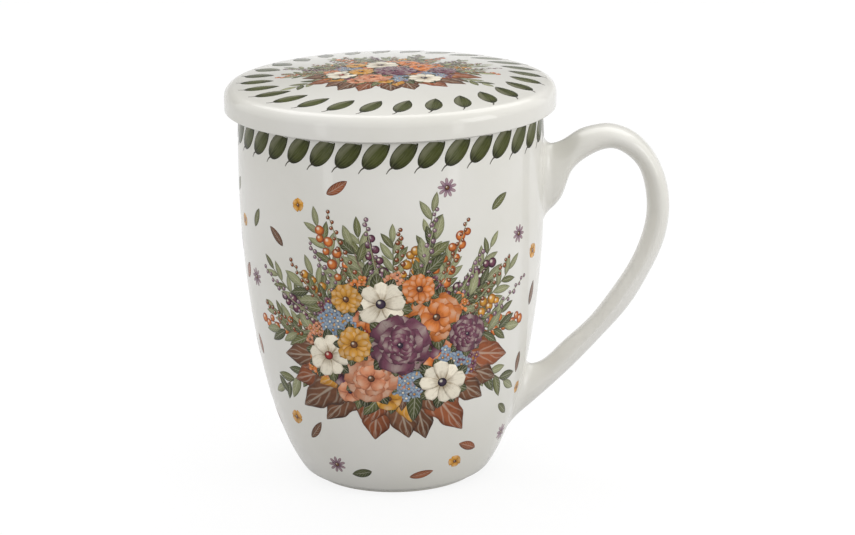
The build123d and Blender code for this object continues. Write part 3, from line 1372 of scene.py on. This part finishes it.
    def stems(self, path: Array, width: float, tone: Tone) -> None:
        """Ribbons along paths: each row lies across its path and narrows evenly to the tip.

        Args:
            path: points of each stem by row.
            width: width at the foot.
            tone: colour.
        """
        rows = path.shape[1]
        ahead = np.gradient(path, axis=1)
        ahead = ahead / np.linalg.norm(ahead, axis=-1, keepdims=True)
        side = np.stack([-ahead[..., 1], ahead[..., 0]], axis=-1)
        half = width / 2 * np.linspace(1, self.stem_tip, rows)
        across = np.linspace(-1, 1, 3)
        flat = path[:, :, None] + side[:, :, None] * (half[:, None] * across)[..., None]
        along, over = np.meshgrid(np.linspace(0, 1, rows), across / 2 + 0.5, indexing="ij")
        self.add(Brush.STEM, flat, np.stack([along, over], axis=-1), [tone])

    def twigs(self, growth: Growth, width: float, tone: Tone, start: float, count: int) -> tuple[Array, ...]:
        """Stems along lines, and where marks sit on them.

        Args:
            growth: lines of the stems.
            width: width at the foot.
            tone: colour.
            start: share of the length where the marks start.
            count: marks on a stem.

        Returns:
            Shares of the marks, their places and headings by stem, and the side of each, 1 or -1 in turn.
        """
        self.stems(growth.sweep(np.linspace(0, 1, self.stem_points))[0], width, tone)
        shares = np.linspace(start, 1.0, count)
        return shares, *growth.sweep(shares), np.where(np.arange(count) % 2, 1.0, -1.0)

    def sprays(self, growth: Growth, leaf: Pair, pairs: int, tones: Tones, stem: Tone = Tone.OLIVE) -> None:
        """Stems with leaflets on either side, smaller towards the tip, and one at the tip.

        Args:
            growth: lines of the stems.
            leaf: length and width of the leaflets.
            pairs: leaflets on each side.
            tones: colours of the leaflets.
            stem: colour of the stems.
        """
        marks = 2 * pairs + 1
        shares, points, heading, side = self.twigs(growth, self.spray_stem, stem, self.spray_start, marks)
        side[-1] = 0
        count = heading.size
        small = self.spray_sizes[0] - self.spray_sizes[1] * shares
        small = np.broadcast_to(small, heading.shape).reshape(-1) * self.vary(count, *self.spray_chance)
        turn = (heading + side * self.spray_angle).reshape(-1) + self.sway(count, self.spray_sway)
        leaflets = Growth(points.reshape(-1, 2), turn, leaf[0] * small, self.sway(count, self.spray_bow))
        self.leaves(leaflets, leaf[1] * small, tones, self.spray_leaf)

    def sprigs(self, growth: Growth, berry: float, count: int, tones: Tones, stem: Tone = Tone.BROWN) -> None:
        """Stems with berries on short stalks along their upper part.

        Args:
            growth: lines of the stems.
            berry: radius of a berry.
            count: berries on a sprig.
            tones: colours, each for a whole sprig in turn.
            stem: colour of the stems.
        """
        _, points, heading, side = self.twigs(growth, self.sprig_stem, stem, self.sprig_start, count)
        side = side * berry * np.linspace(*self.stalks, count)
        berries = points + np.stack([-np.sin(heading), np.cos(heading)], axis=-1) * side[:, None]
        self.stems(np.stack([points, berries], axis=2).reshape(-1, 2, 2), self.stalk_width, stem)
        size = berry * self.vary(heading.size, *self.berries)
        paints = [tone for tone in tones for _ in range(count)]
        self.discs(berries.reshape(-1, 2), size, paints, SMALL_BERRY if berry > 1 else TINY_BERRY)

    def blossoms(self, place: Array, radius: Array, flower: Flower) -> None:
        """Open flowers: rings of single petals, each ring smaller and lighter than the last, and a button.

        Args:
            place: middle of each flower.
            radius: radius of each flower.
            flower: how they are drawn.
        """
        petals, rings = flower.petals, flower.rings
        flowers, total = len(place), len(place) * petals
        foot, size = np.repeat(place, petals, axis=0), np.repeat(radius, petals)
        paints = [flower.tones[i % len(flower.tones)] for i in range(flowers) for _ in range(petals)]
        turn = (self.vary(flowers, 0, TURN)[:, None] + np.arange(petals) * TURN / petals).reshape(-1)
        wide = 2 * math.sin(math.pi / petals) * flower.broad
        for ring in range(rings):
            length = size * flower.shrink**ring * self.vary(total, *flower.lengths)
            lean = turn + ring * math.pi / petals + self.sway(total, flower.lean)
            width = length * wide * self.vary(total, *flower.widths)
            light = flower.light[0] - flower.light[1] * (rings - 1 - ring) / max(rings - 2, 1)
            lines = Growth(foot, lean, length, self.sway(total, flower.bow))
            kinds = self.vary(total, *flower.kinds)
            self.leaves(lines, width, paints, replace(flower.blade, dim=light), kinds)
        self.discs(place, radius * flower.button, flower.heart, BERRY)


@dataclass
class Print:
    """A fired transfer: all marks of a painter, laid on the ware, with one piece for each brush."""

    name: str
    body: str
    slot: str
    place: Laying
    depth: float = 0.03

    def build(self, marks: Sequence[Marks]) -> None:
        """Make and dress a piece for each brush that the marks use.

        Args:
            marks: groups of marks.
        """
        for brush in Brush:
            group = [m for m in marks if m.brush is brush]
            if group:
                self.gather(brush, group)

    def gather(self, brush: Brush, group: Sequence[Marks]) -> None:
        """One piece from the marks of one brush, with its coordinates and colours as attributes.

        Args:
            brush: kind of mark.
            group: the marks.
        """
        shells = [m.shell(self.place, self.depth) for m in group]
        starts = np.cumsum([0] + [len(points) for points, _, _ in shells[:-1]])
        points = np.concatenate([points for points, _, _ in shells])
        faces = np.concatenate([faces + start for (_, faces, _), start in zip(shells, starts)])
        upper = np.concatenate([np.arange(len(faces)) < tops for _, faces, tops in shells])
        piece = put_mesh(f"{self.name}_{brush.value}", points, faces)
        mesh = piece.data
        mesh.polygons.foreach_set("use_smooth", upper)
        corner = np.empty(len(mesh.loops), np.int32)
        mesh.loops.foreach_get("vertex_index", corner)
        marking = np.concatenate([m.marking() for m in group])
        mesh.uv_layers.new(name="mark").data.foreach_set("uv", marking[corner].ravel())
        for name in ("tint", "deep"):
            colour = np.concatenate([m.spread(getattr(m, name)) for m in group])
            colour = np.concatenate([colour, np.ones((len(colour), 1))], axis=1)
            mesh.attributes.new(name, "FLOAT_COLOR", "POINT").data.foreach_set("color", colour.ravel())
        count = np.concatenate([m.spread(m.count) for m in group])
        mesh.attributes.new("count", "FLOAT", "POINT").data.foreach_set("value", count)
        mesh.update()
        dress(piece, Ink(f"{self.name}_{brush.value}_ink", brush).material(), self.body, self.slot)


@dataclass
class Posy:
    """Round autumn posy of leaves, berries and open flowers, about 90 by 70 mm at scale 1.

    Places are in millimetres from its middle. Where a flower has three numbers, the third is its radius.
    """

    scale: float = 1.0
    rise: float = 0.0
    tall_sprays: Fan = Fan(11, (7, 3), (178, 2), (31, 6), 2.4, 0.22)
    berry_sprigs: Fan = Fan(10, (8, 3), (165, 15), (30, 5), 2.0, -0.2, np.cos)
    low_sprays: Fan = Fan(8, (10, 4), (200, -20), (26, 3), 1.7, -0.15, np.cos)
    seed_sprigs: Fan = Fan(12, (8, 4), (172, 8), (34, 4), 1.9, 0.18, lean=0.08)
    broad_leaf: LeafLook = LeafLook((0.55, 0.8), (4, 0.12), (25, 13))
    middle_leaf: LeafLook = LeafLook((0.55, 0.8), (4, 0.1), (25, 11))
    star_leaf: LeafLook = LeafLook((0.9, 0.7), grid=SMALL_LEAF, dim=0.7)
    star_width: float = 0.46
    star: int = 9
    beads: tuple[Pair, ...] = ((-15.5, 8.0), (3.5, -10.0), (16.5, -4.5))
    full: tuple[Spot, ...] = ((11.5, 9.0, 7.6), (-6.5, -8.5, 7.2))
    pale: tuple[Spot, ...] = ((-3.5, 13.5, 6.9), (-18.5, -2.5, 6.4), (13.0, -10.5, 6.6))
    dark: tuple[Spot, ...] = ((1.5, 1.5, 8.2), (20.5, 3.0, 5.4))
    small: tuple[Spot, ...] = ((-11.0, 1.5, 5.2), (7.0, 17.5, 4.6), (-13.0, 14.5, 4.4))

    def back(self, painter: Painter) -> None:
        """Leaf sprays and berry sprigs that fan out behind the flowers.

        Args:
            painter: takes the marks.
        """
        sage, warm = [Tone.SAGE, Tone.OLIVE, Tone.SAGE], [Tone.ORANGE, Tone.PLUM, Tone.OCHRE]
        green, dusky = [Tone.OLIVE, Tone.FERN, Tone.SAGE], [Tone.RUST, Tone.MAUVE]
        painter.sprays(self.tall_sprays.lines(), leaf=(7.2, 2.5), pairs=6, tones=sage)
        painter.sprigs(self.berry_sprigs.lines(), berry=1.25, count=11, tones=warm)
        painter.sprays(self.low_sprays.lines(), leaf=(8.5, 3.4), pairs=4, tones=green, stem=Tone.BROWN)
        painter.sprigs(self.seed_sprigs.lines(), berry=0.62, count=15, tones=dusky, stem=Tone.SAGE)

    def collar(self, painter: Painter) -> None:
        """Fan of broad autumn leaves below the flowers, with small green ones over them.

        Args:
            painter: takes the marks.
        """
        broad, middle = Spans(0.08, (21, 25), (9.5, 11.5), 0.12), Spans(0.1, (15, 18), (8, 9.5), 0.12)
        brown, bright = [Tone.BROWN, Tone.RUST, Tone.BROWN], [Tone.RUST, Tone.OCHRE, Tone.BROWN, Tone.RUST]
        painter.foliage(*oval(11, (11, 6), (188, 352)), broad, brown, self.broad_leaf)
        painter.foliage(*oval(10, (10, 5), (197, 343)), middle, bright, self.middle_leaf)
        green = Spans(0.2, (9, 12), (4, 5), 0.15)
        painter.foliage(*oval(13, (12, 7), (184, 356)), green, [Tone.FERN, Tone.OLIVE])

    def filling(self, painter: Painter) -> None:
        """Dark leaves and small flowers, so that no glaze shows between the large flowers.

        Args:
            painter: takes the marks.
        """
        dark, green = Spans(0.4, (8, 11), (3.4, 4.6), 0.15), [Tone.FERN, Tone.OLIVE, Tone.FERN, Tone.BROWN]
        painter.foliage(*spiral(54, (17, 13.5)), dark, green, LeafLook(grid=SMALL_LEAF))
        place, _ = spiral(26, (20.5, 16.5), start=0.6)
        tones = [Tone.ORANGE, Tone.CORAL, Tone.OCHRE, Tone.MAUVE, Tone.ORANGE, Tone.PLUM]
        flower = Flower(5, tones, [Tone.CRIMSON, Tone.INK, Tone.BROWN])
        painter.blossoms(place, painter.vary(len(place), 3.2, 4.4), flower)

    def fringe(self, painter: Painter) -> None:
        """Small florets in loose tufts along the upper edge of the flowers.

        Args:
            painter: takes the marks.
        """
        tuft, _ = oval(9, (21.5, 18.5), (196, -16))
        bead, _ = spiral(13, (3.9, 3.9), 0.0)
        place = (tuft[:, None] + bead[None]).reshape(-1, 2)
        place = place + np.stack([painter.sway(len(place), 0.35) for _ in range(2)], axis=-1)
        tones = [tone for tone in (Tone.ORANGE, Tone.CORAL, Tone.PLUM) for _ in bead]
        look = DiscLook(9, petals=4, notch=0.4)
        eyes = [Tone.OCHRE, Tone.BROWN]
        painter.florets(place, (1.1, 1.6), tones, look, spin=2, eye=0.38, eyes=eyes)

    def heart(self, painter: Painter) -> None:
        """Large flowers, with beads of small blue ones between them.

        Args:
            painter: takes the marks.
        """
        bead, _ = spiral(19, (5.2, 5.2), 0.0)
        place = (np.array(self.beads)[:, None] + bead[None]).reshape(-1, 2)
        look = DiscLook(9, petals=5, notch=0.35)
        eyes = [Tone.CREAM, Tone.OCHRE]
        painter.florets(place, (1.15, 1.55), [Tone.BLUE], look, spin=1, eye=0.4, eyes=eyes)
        for spots, flower in (
            (self.full, Flower(7, [Tone.ORANGE, Tone.CORAL], [Tone.BROWN], rings=3, broad=1.35, button=0.14)),
            (self.pale, Flower(8, [Tone.CREAM], [Tone.INK, Tone.CRIMSON, Tone.INK], broad=0.82)),
            (self.dark, Flower(8, [Tone.PLUM], [Tone.INK], rings=5, broad=1.5, button=0.1)),
            (self.small, Flower(10, [Tone.OCHRE, Tone.ORANGE], [Tone.BROWN], rings=2, broad=1.0)),
        ):
            self.bloom(painter, spots, flower)

    def bloom(self, painter: Painter, spots: Sequence[Spot], flower: Flower) -> None:
        """Large flowers, each on a star of dark leaves that parts it from what lies behind.

        Args:
            painter: takes the marks.
            spots: place and radius of each flower.
            flower: how they are drawn.
        """
        place, radius = np.split(np.array(spots), [2], axis=1)
        points = np.arange(self.star) * TURN / self.star
        turn = (painter.vary(len(place), 0, TURN)[:, None] + points).reshape(-1)
        size = np.repeat(radius, self.star) * painter.vary(len(turn), 1.08, 1.3)
        lines = Growth(np.repeat(place, self.star, axis=0), turn, size, painter.sway(len(turn), 0.1))
        green = [Tone.FERN, Tone.OLIVE, Tone.FERN]
        painter.leaves(lines, size * self.star_width, green, self.star_leaf)
        painter.blossoms(place, radius[:, 0], flower)

    def paint(self, painter: Painter) -> None:
        """Paint the whole posy about the origin, from back to front, then scale and raise it.

        Args:
            painter: takes the marks.
        """
        first = len(painter.marks)
        for part in (self.back, self.collar, self.filling, self.fringe, self.heart):
            part(painter)
        for marks in painter.marks[first:]:
            marks.flat = marks.flat * self.scale + (0.0, self.rise)


@dataclass
class Scatter:
    """Loose marks strewn round the posy, in millimetres from its middle; a leaf also has its direction."""

    leaves: tuple[Spot, ...] = (
        (-33.0, 27.0, 2.3), (-18.0, 43.5, 0.5), (47.5, 5.0, 1.1), (24.0, -34.0, 2.6), (-26.0, -30.0, 0.9),
        (3.5, -40.5, 0.15), (43.0, -8.0, 4.4), (-48.0, -9.0, 1.9),
    )
    greens: tuple[Spot, ...] = (
        (29.0, 37.0, 0.7), (-34.0, -17.0, 2.4), (33.0, -22.0, 5.6), (-7.0, -38.5, 3.5), (-46.0, 30.0, 1.2),
    )
    seeds: tuple[Pair, ...] = ((-47.0, 15.0), (15.0, 45.0), (40.0, 28.0), (-17.5, -37.5), (37.0, -33.0))
    florets: tuple[Pair, ...] = ((-27.0, 39.5), (44.0, -20.0), (17.0, -37.0), (-31.5, -24.5), (48.5, 21.0))

    @staticmethod
    def strew(painter: Painter, spots: Sequence[Spot], sizes: tuple[Pair, Pair], tones: Tones,
              bow: float) -> None:
        """Loose leaves.

        Args:
            painter: takes the marks.
            spots: place and direction of each leaf.
            sizes: range of length and range of width.
            tones: colours.
            bow: bend of the leaves.
        """
        rows = np.array(spots)
        length, width = (painter.vary(len(rows), *size) for size in sizes)
        painter.leaves(Growth(rows[:, :2], rows[:, 2], length, bow), width, tones, LeafLook((0.7, 0.8)))

    def paint(self, painter: Painter) -> None:
        """Paint the loose marks: brown and green leaves, seed heads and florets.

        Args:
            painter: takes the marks.
        """
        self.strew(painter, self.leaves, ((6.0, 7.5), (2.4, 3.1)), [Tone.BROWN, Tone.RUST], 0.08)
        self.strew(painter, self.greens, ((5.5, 7.0), (2.4, 3.0)), [Tone.OLIVE, Tone.FERN], -0.08)
        seeds, look = np.array(self.seeds), DiscLook(25, petals=9, notch=0.72)
        painter.florets(seeds, (2.4, 3.0), [Tone.MAUVE], look, spin=1, eye=0.7, eyes=[Tone.BROWN],
                        eye_look=SMALL_BERRY)
        radius = painter.vary(len(self.florets), 1.8, 2.3)
        flower = Flower(4, [Tone.OCHRE], [Tone.BROWN], broad=0.9, button=0.25)
        painter.blossoms(np.array(self.florets), radius, flower)


SIDE_SCATTER = Scatter(
    leaves=((-6.0, 30.0, 2.2), (10.0, 13.0, 0.8), (-7.0, -13.0, 1.6), (9.0, -31.0, 2.5)),
    greens=((6.0, 37.0, 1.0), (-9.0, 9.0, 2.6), (-1.0, -25.0, 0.4)),
    seeds=((3.0, 22.0), (4.0, -9.0), (-6.0, -33.0)),
    florets=((-9.0, 41.0), (1.0, 1.0), (13.0, 30.0), (-11.0, -2.0)),
)


@dataclass
class LeafBand:
    """Border of leaning leaves that the lip cuts off; sizes in millimetres, the lean in degrees."""

    mug: MugBody
    count: int = 36
    foot: float = 98.1
    rise: float = 6.9
    length: float = 10.9
    width: float = 5.1
    lean: float = 46.0
    look: LeafLook = LeafLook((0.55, 0.72), grid=(25, 13))
    samples: int = 800
    tail: float = 2.1
    tail_width: float = 0.5
    tail_points: int = 9

    def leaf(self) -> tuple[Array, Array]:
        """One leaf, by lines from its foot to the cut.

        It is an ovate leaf turned to the lean. Each line keeps its share of the half width and ends where it
        reaches the cut's height.

        Returns:
            Places by row and column, and the share along and across the leaf at each.
        """
        ahead = rays(math.radians(self.lean))
        aside = np.array([-ahead[1], ahead[0]])
        rows, columns = self.look.grid
        share, over = np.linspace(0, 1, self.samples), np.linspace(-1, 1, columns)
        half = np.maximum(self.width / 2 * self.look.half(share), LEAST_HALF)
        height = (self.length * share * ahead[1])[:, None] + half[:, None] * over * aside[1]
        along = np.linspace(0, 1, rows)[:, None] * share[np.argmax(height >= self.rise, axis=0)]
        wide = np.interp(along, share, half) * over
        flat = self.length * along[..., None] * ahead + wide[..., None] * aside
        return flat, np.stack([along, np.broadcast_to(over / 2 + 0.5, along.shape)], axis=-1)

    def paint(self, painter: Painter) -> None:
        """Paint the border, whose places run round the rim and up from the foot line.

        From each foot a tail goes back, and down by a straight fall and a power of its share.

        Args:
            painter: takes the marks.
        """
        pitch = TURN * float(self.mug.radius(self.foot)) / self.count
        start = np.stack([(np.arange(self.count) - self.count / 2) * pitch, np.zeros(self.count)], axis=-1)
        flat, mark = self.leaf()
        painter.add(Brush.LEAF, flat[None] + start[:, None, None], mark, [Tone.BORDER], 1.0)
        step = np.linspace(0, 1, self.tail_points)
        path = self.tail * np.stack([0.3 - step, 0.12 - 0.25 * step - 0.6 * step**2.5], axis=-1)
        painter.stems(path[None] + start[:, None], self.tail_width, Tone.BARK)


@dataclass
class LidRing:
    """Ring of slender leaves near the lid's edge; sizes in millimetres, angles in degrees."""

    count: int = 28
    start: float = -123.9
    slant: float = 27.0
    radius: float = 37.4
    middle: Pair = (0.4, 0.6)
    length: float = 10.0
    width: float = 4.7
    bow: float = 0.04
    look: LeafLook = LeafLook((0.7, 0.85))
    tail: float = 1.6
    tail_start: float = -0.3
    tail_width: float = 0.58
    tail_bow: float = -0.35
    tail_points: int = 7

    def paint(self, painter: Painter) -> None:
        """Paint the ring: each leaf's foot points outwards, turned back from the radius by the slant.

        Args:
            painter: takes the marks.
        """
        turn = math.radians(self.start) + np.arange(self.count) * TURN / self.count
        outward = turn - math.radians(self.slant)
        foot = self.radius * rays(turn) + rays(outward) * self.length / 2 + self.middle
        lines = Growth(foot, outward + math.pi, self.length, self.bow)
        painter.leaves(lines, self.width, [Tone.BORDER], self.look, 1.0)
        shares = np.linspace(self.tail_start, 1, self.tail_points)
        path, _ = Growth(foot, outward, self.tail, self.tail_bow).sweep(shares)
        painter.stems(path, self.tail_width, Tone.BARK)


@dataclass
class Infuser:
    """Steel strainer: its CAD pieces keep their shape and get brushed steel."""

    finishes: dict[str, Steel] = field(default_factory=lambda: {
        "infuser_rim": Steel("rim_steel", 0.16),
        "infuser_wall": Steel("wall_steel"),
        "infuser_base": Steel("base_steel"),
        "infuser_hoop": Steel("hoop_steel", 0.18),
    })

    def build(self) -> None:
        """Dress each piece."""
        for node, finish in self.finishes.items():
            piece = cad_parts[node]
            piece.data.materials.clear()
            piece.data.materials.append(finish.material())
            LOG.info("%s: brushed steel", node)


@dataclass(frozen=True)
class Lamp:
    """Soft box: its name, place and size in metres, and power in watts."""

    name: str
    place: Spot
    size: Pair
    power: float

    def build(self) -> None:
        """Set the lamp up, facing the middle of the part."""
        data = bpy.data.lights.new(self.name, "AREA")
        data.shape = "RECTANGLE"
        data.size, data.size_y = self.size
        data.energy = self.power
        made = bpy.data.objects.new(self.name, data)
        bpy.context.scene.collection.objects.link(made)
        made.location = self.place
        aim = made.location - (CAD_BOX[0] + CAD_BOX[1]) / 2
        made.rotation_euler = aim.to_track_quat("Z", "Y").to_euler()


@dataclass
class Studio:
    """Floor, light and camera; lengths in metres, angles in degrees."""

    camera_back: float = 0.74594
    camera_height: float = 0.26979
    pitch: float = 15.80
    roll: float = 0.793
    pan: float = 0.744
    focal_pixels: float = 2739.8
    sensor: float = 36.0
    surroundings: float = 0.93
    floor_side: float = 4.0
    floor_grey: float = 0.48
    floor_plain: float = 0.85
    floor_mirrored: float = 0.6
    floor_dimmed: float = 0.4
    flag_wide: float = 0.9
    flag_far: float = 0.8
    flag_high: float = 0.95
    flag_greys: Spot = (0.95, 0.75, 0.5)
    flag_darkens: Pair = (0.08, 0.3)
    flag_lightens: Pair = (0.42, 0.75)
    lamps: tuple[Lamp, ...] = (
        Lamp("right_softbox", (1.0, -0.5, 0.45), (0.5, 0.7), 3.0),
        Lamp("back_softbox", (0.05, 0.6, 0.9), (1.5, 0.9), 5.8),
        Lamp("left_strip", (-0.24, -0.24, 0.12), (0.045, 0.22), 0.035),
        Lamp("right_strip", (0.24, -0.25, 0.12), (0.05, 0.22), 0.04),
    )

    def camera(self) -> None:
        """Camera that looks along +Y, down by the pitch, right by the pan and turned by the roll."""
        data = bpy.data.cameras.new("camera")
        data.sensor_width = self.sensor
        data.lens = self.focal_pixels / PHOTO_WIDTH * self.sensor
        made = bpy.data.objects.new("camera", data)
        bpy.context.scene.collection.objects.link(made)
        aim = Euler((math.radians(90 - self.pitch), 0, math.radians(-self.pan))).to_matrix()
        spin = Matrix.Rotation(math.radians(-self.roll), 3, "Z")
        place = Matrix.Translation((0, -self.camera_back, self.camera_height))
        made.matrix_world = place @ (aim @ spin).to_4x4()
        bpy.context.scene.camera = made

    def world(self) -> None:
        """White surroundings: full white where they are seen or mirrored, a little less as light."""
        graph = Graph("studio", bpy.data.worlds.new("studio"))
        strength = self.surroundings + graph.seen() * (1 - self.surroundings)
        back = graph.node("ShaderNodeBackground", None, {"Color": (*WHITE, 1.0), "Strength": strength})
        bpy.context.scene.world = graph.end(back)

    @staticmethod
    def card(name: str, corners: Sequence[Spot], material: bpy.types.Material) -> bpy.types.Object:
        """Flat card of the stage.

        Args:
            name: name of the card.
            corners: its four corners, in metres.
            material: its material.

        Returns:
            The card.
        """
        made = put_mesh(name, np.array(corners) / MM, np.array([[0, 1, 2, 3]]), False)
        made.data.materials.append(material)
        return made

    def floor(self) -> None:
        """Wide white floor whose camera rays are mostly plain white, with a faint shadow kept."""
        graph = Graph("floor_white")
        seen, mirrored = graph.seen(), graph.ray("Glossy")
        tone = graph.mix(seen - mirrored * self.floor_dimmed, (self.floor_grey,) * 3, WHITE)
        matt = graph.node("ShaderNodeBsdfDiffuse", None, {"Color": tone})
        white = graph.node("ShaderNodeEmission", None, {"Color": (*WHITE, 1.0)})
        inputs = {0: seen * self.floor_plain - mirrored * self.floor_mirrored, 1: matt, 2: white}
        material = graph.end(graph.node("ShaderNodeMixShader", None, inputs))
        side = self.floor_side
        self.card("floor", ((-side, -side, 0), (side, -side, 0), (side, side, 0), (-side, side, 0)), material)

    def flag(self) -> None:
        """Grey card behind the mug, out of the picture, so that the lid's gloss hides little of the print.

        Its grey falls from the floor up, then rises again towards the top.
        """
        graph = Graph("flag_grey")
        height = graph.parts(graph.place())[2]
        low, fall, rise = self.flag_greys
        grey = low - height.step(*self.flag_darkens) * fall + height.step(*self.flag_lightens) * rise
        tone = graph.mix(grey, BLACK, WHITE)
        material = graph.end(graph.node("ShaderNodeBsdfDiffuse", None, {"Color": tone}))
        wide, far, high = self.flag_wide, self.flag_far, self.flag_high
        corners = ((-wide, far, 0.0), (wide, far, 0.0), (wide, far, high), (-wide, far, high))
        self.card("flag", corners, material).visible_camera = False

    def build(self) -> None:
        """Set up the whole studio."""
        self.camera()
        self.world()
        self.floor()
        self.flag()
        for lamp in self.lamps:
            lamp.build()
        bpy.context.scene.view_settings.view_transform = "Standard"


def dress_prints(mug: MugBody, lid: Lid) -> None:
    """Paint the mug's pictures, its rim border and the lid, and lay them on the ware.

    Args:
        mug: carries the pictures and the border.
        lid: carries the ring and a smaller picture.
    """
    band, level, quarter = LeafBand(mug), mug.print_level, math.pi / 2
    for name, seed, turn, height, designs in (
        ("front_print", 7, -quarter, level, (Posy(), Scatter())),
        ("back_print", 7, quarter, level, (Posy(), Scatter())),
        ("side_print", 9, math.pi, level, (SIDE_SCATTER,)),
        ("rim_print", 3, 0.0, band.foot, (band,)),
    ):
        painter = Painter(seed)
        for design in designs:
            design.paint(painter)
        Print(name, "mug", "body_glaze", partial(mug.place, turn=turn, level=height)).build(painter.marks)
    painter = Painter(5, layer=lid.print_layer)
    LidRing().paint(painter)
    Posy(scale=0.72, rise=-2.7).paint(painter)
    Print("lid_print", "lid", "lid_glaze", lid.place).build(painter.marks)


def main() -> None:
    """Build the pieces in order; dress logs each piece's faces."""
    logging.basicConfig(level=logging.INFO, format="%(name)s %(message)s")
    mug, lid = MugBody(), Lid()
    mug.build()
    Handle(mug).build()
    lid.build()
    dress_prints(mug, lid)
    Infuser().build()
    Studio().build()


if __name__ == "__main__":
    main()
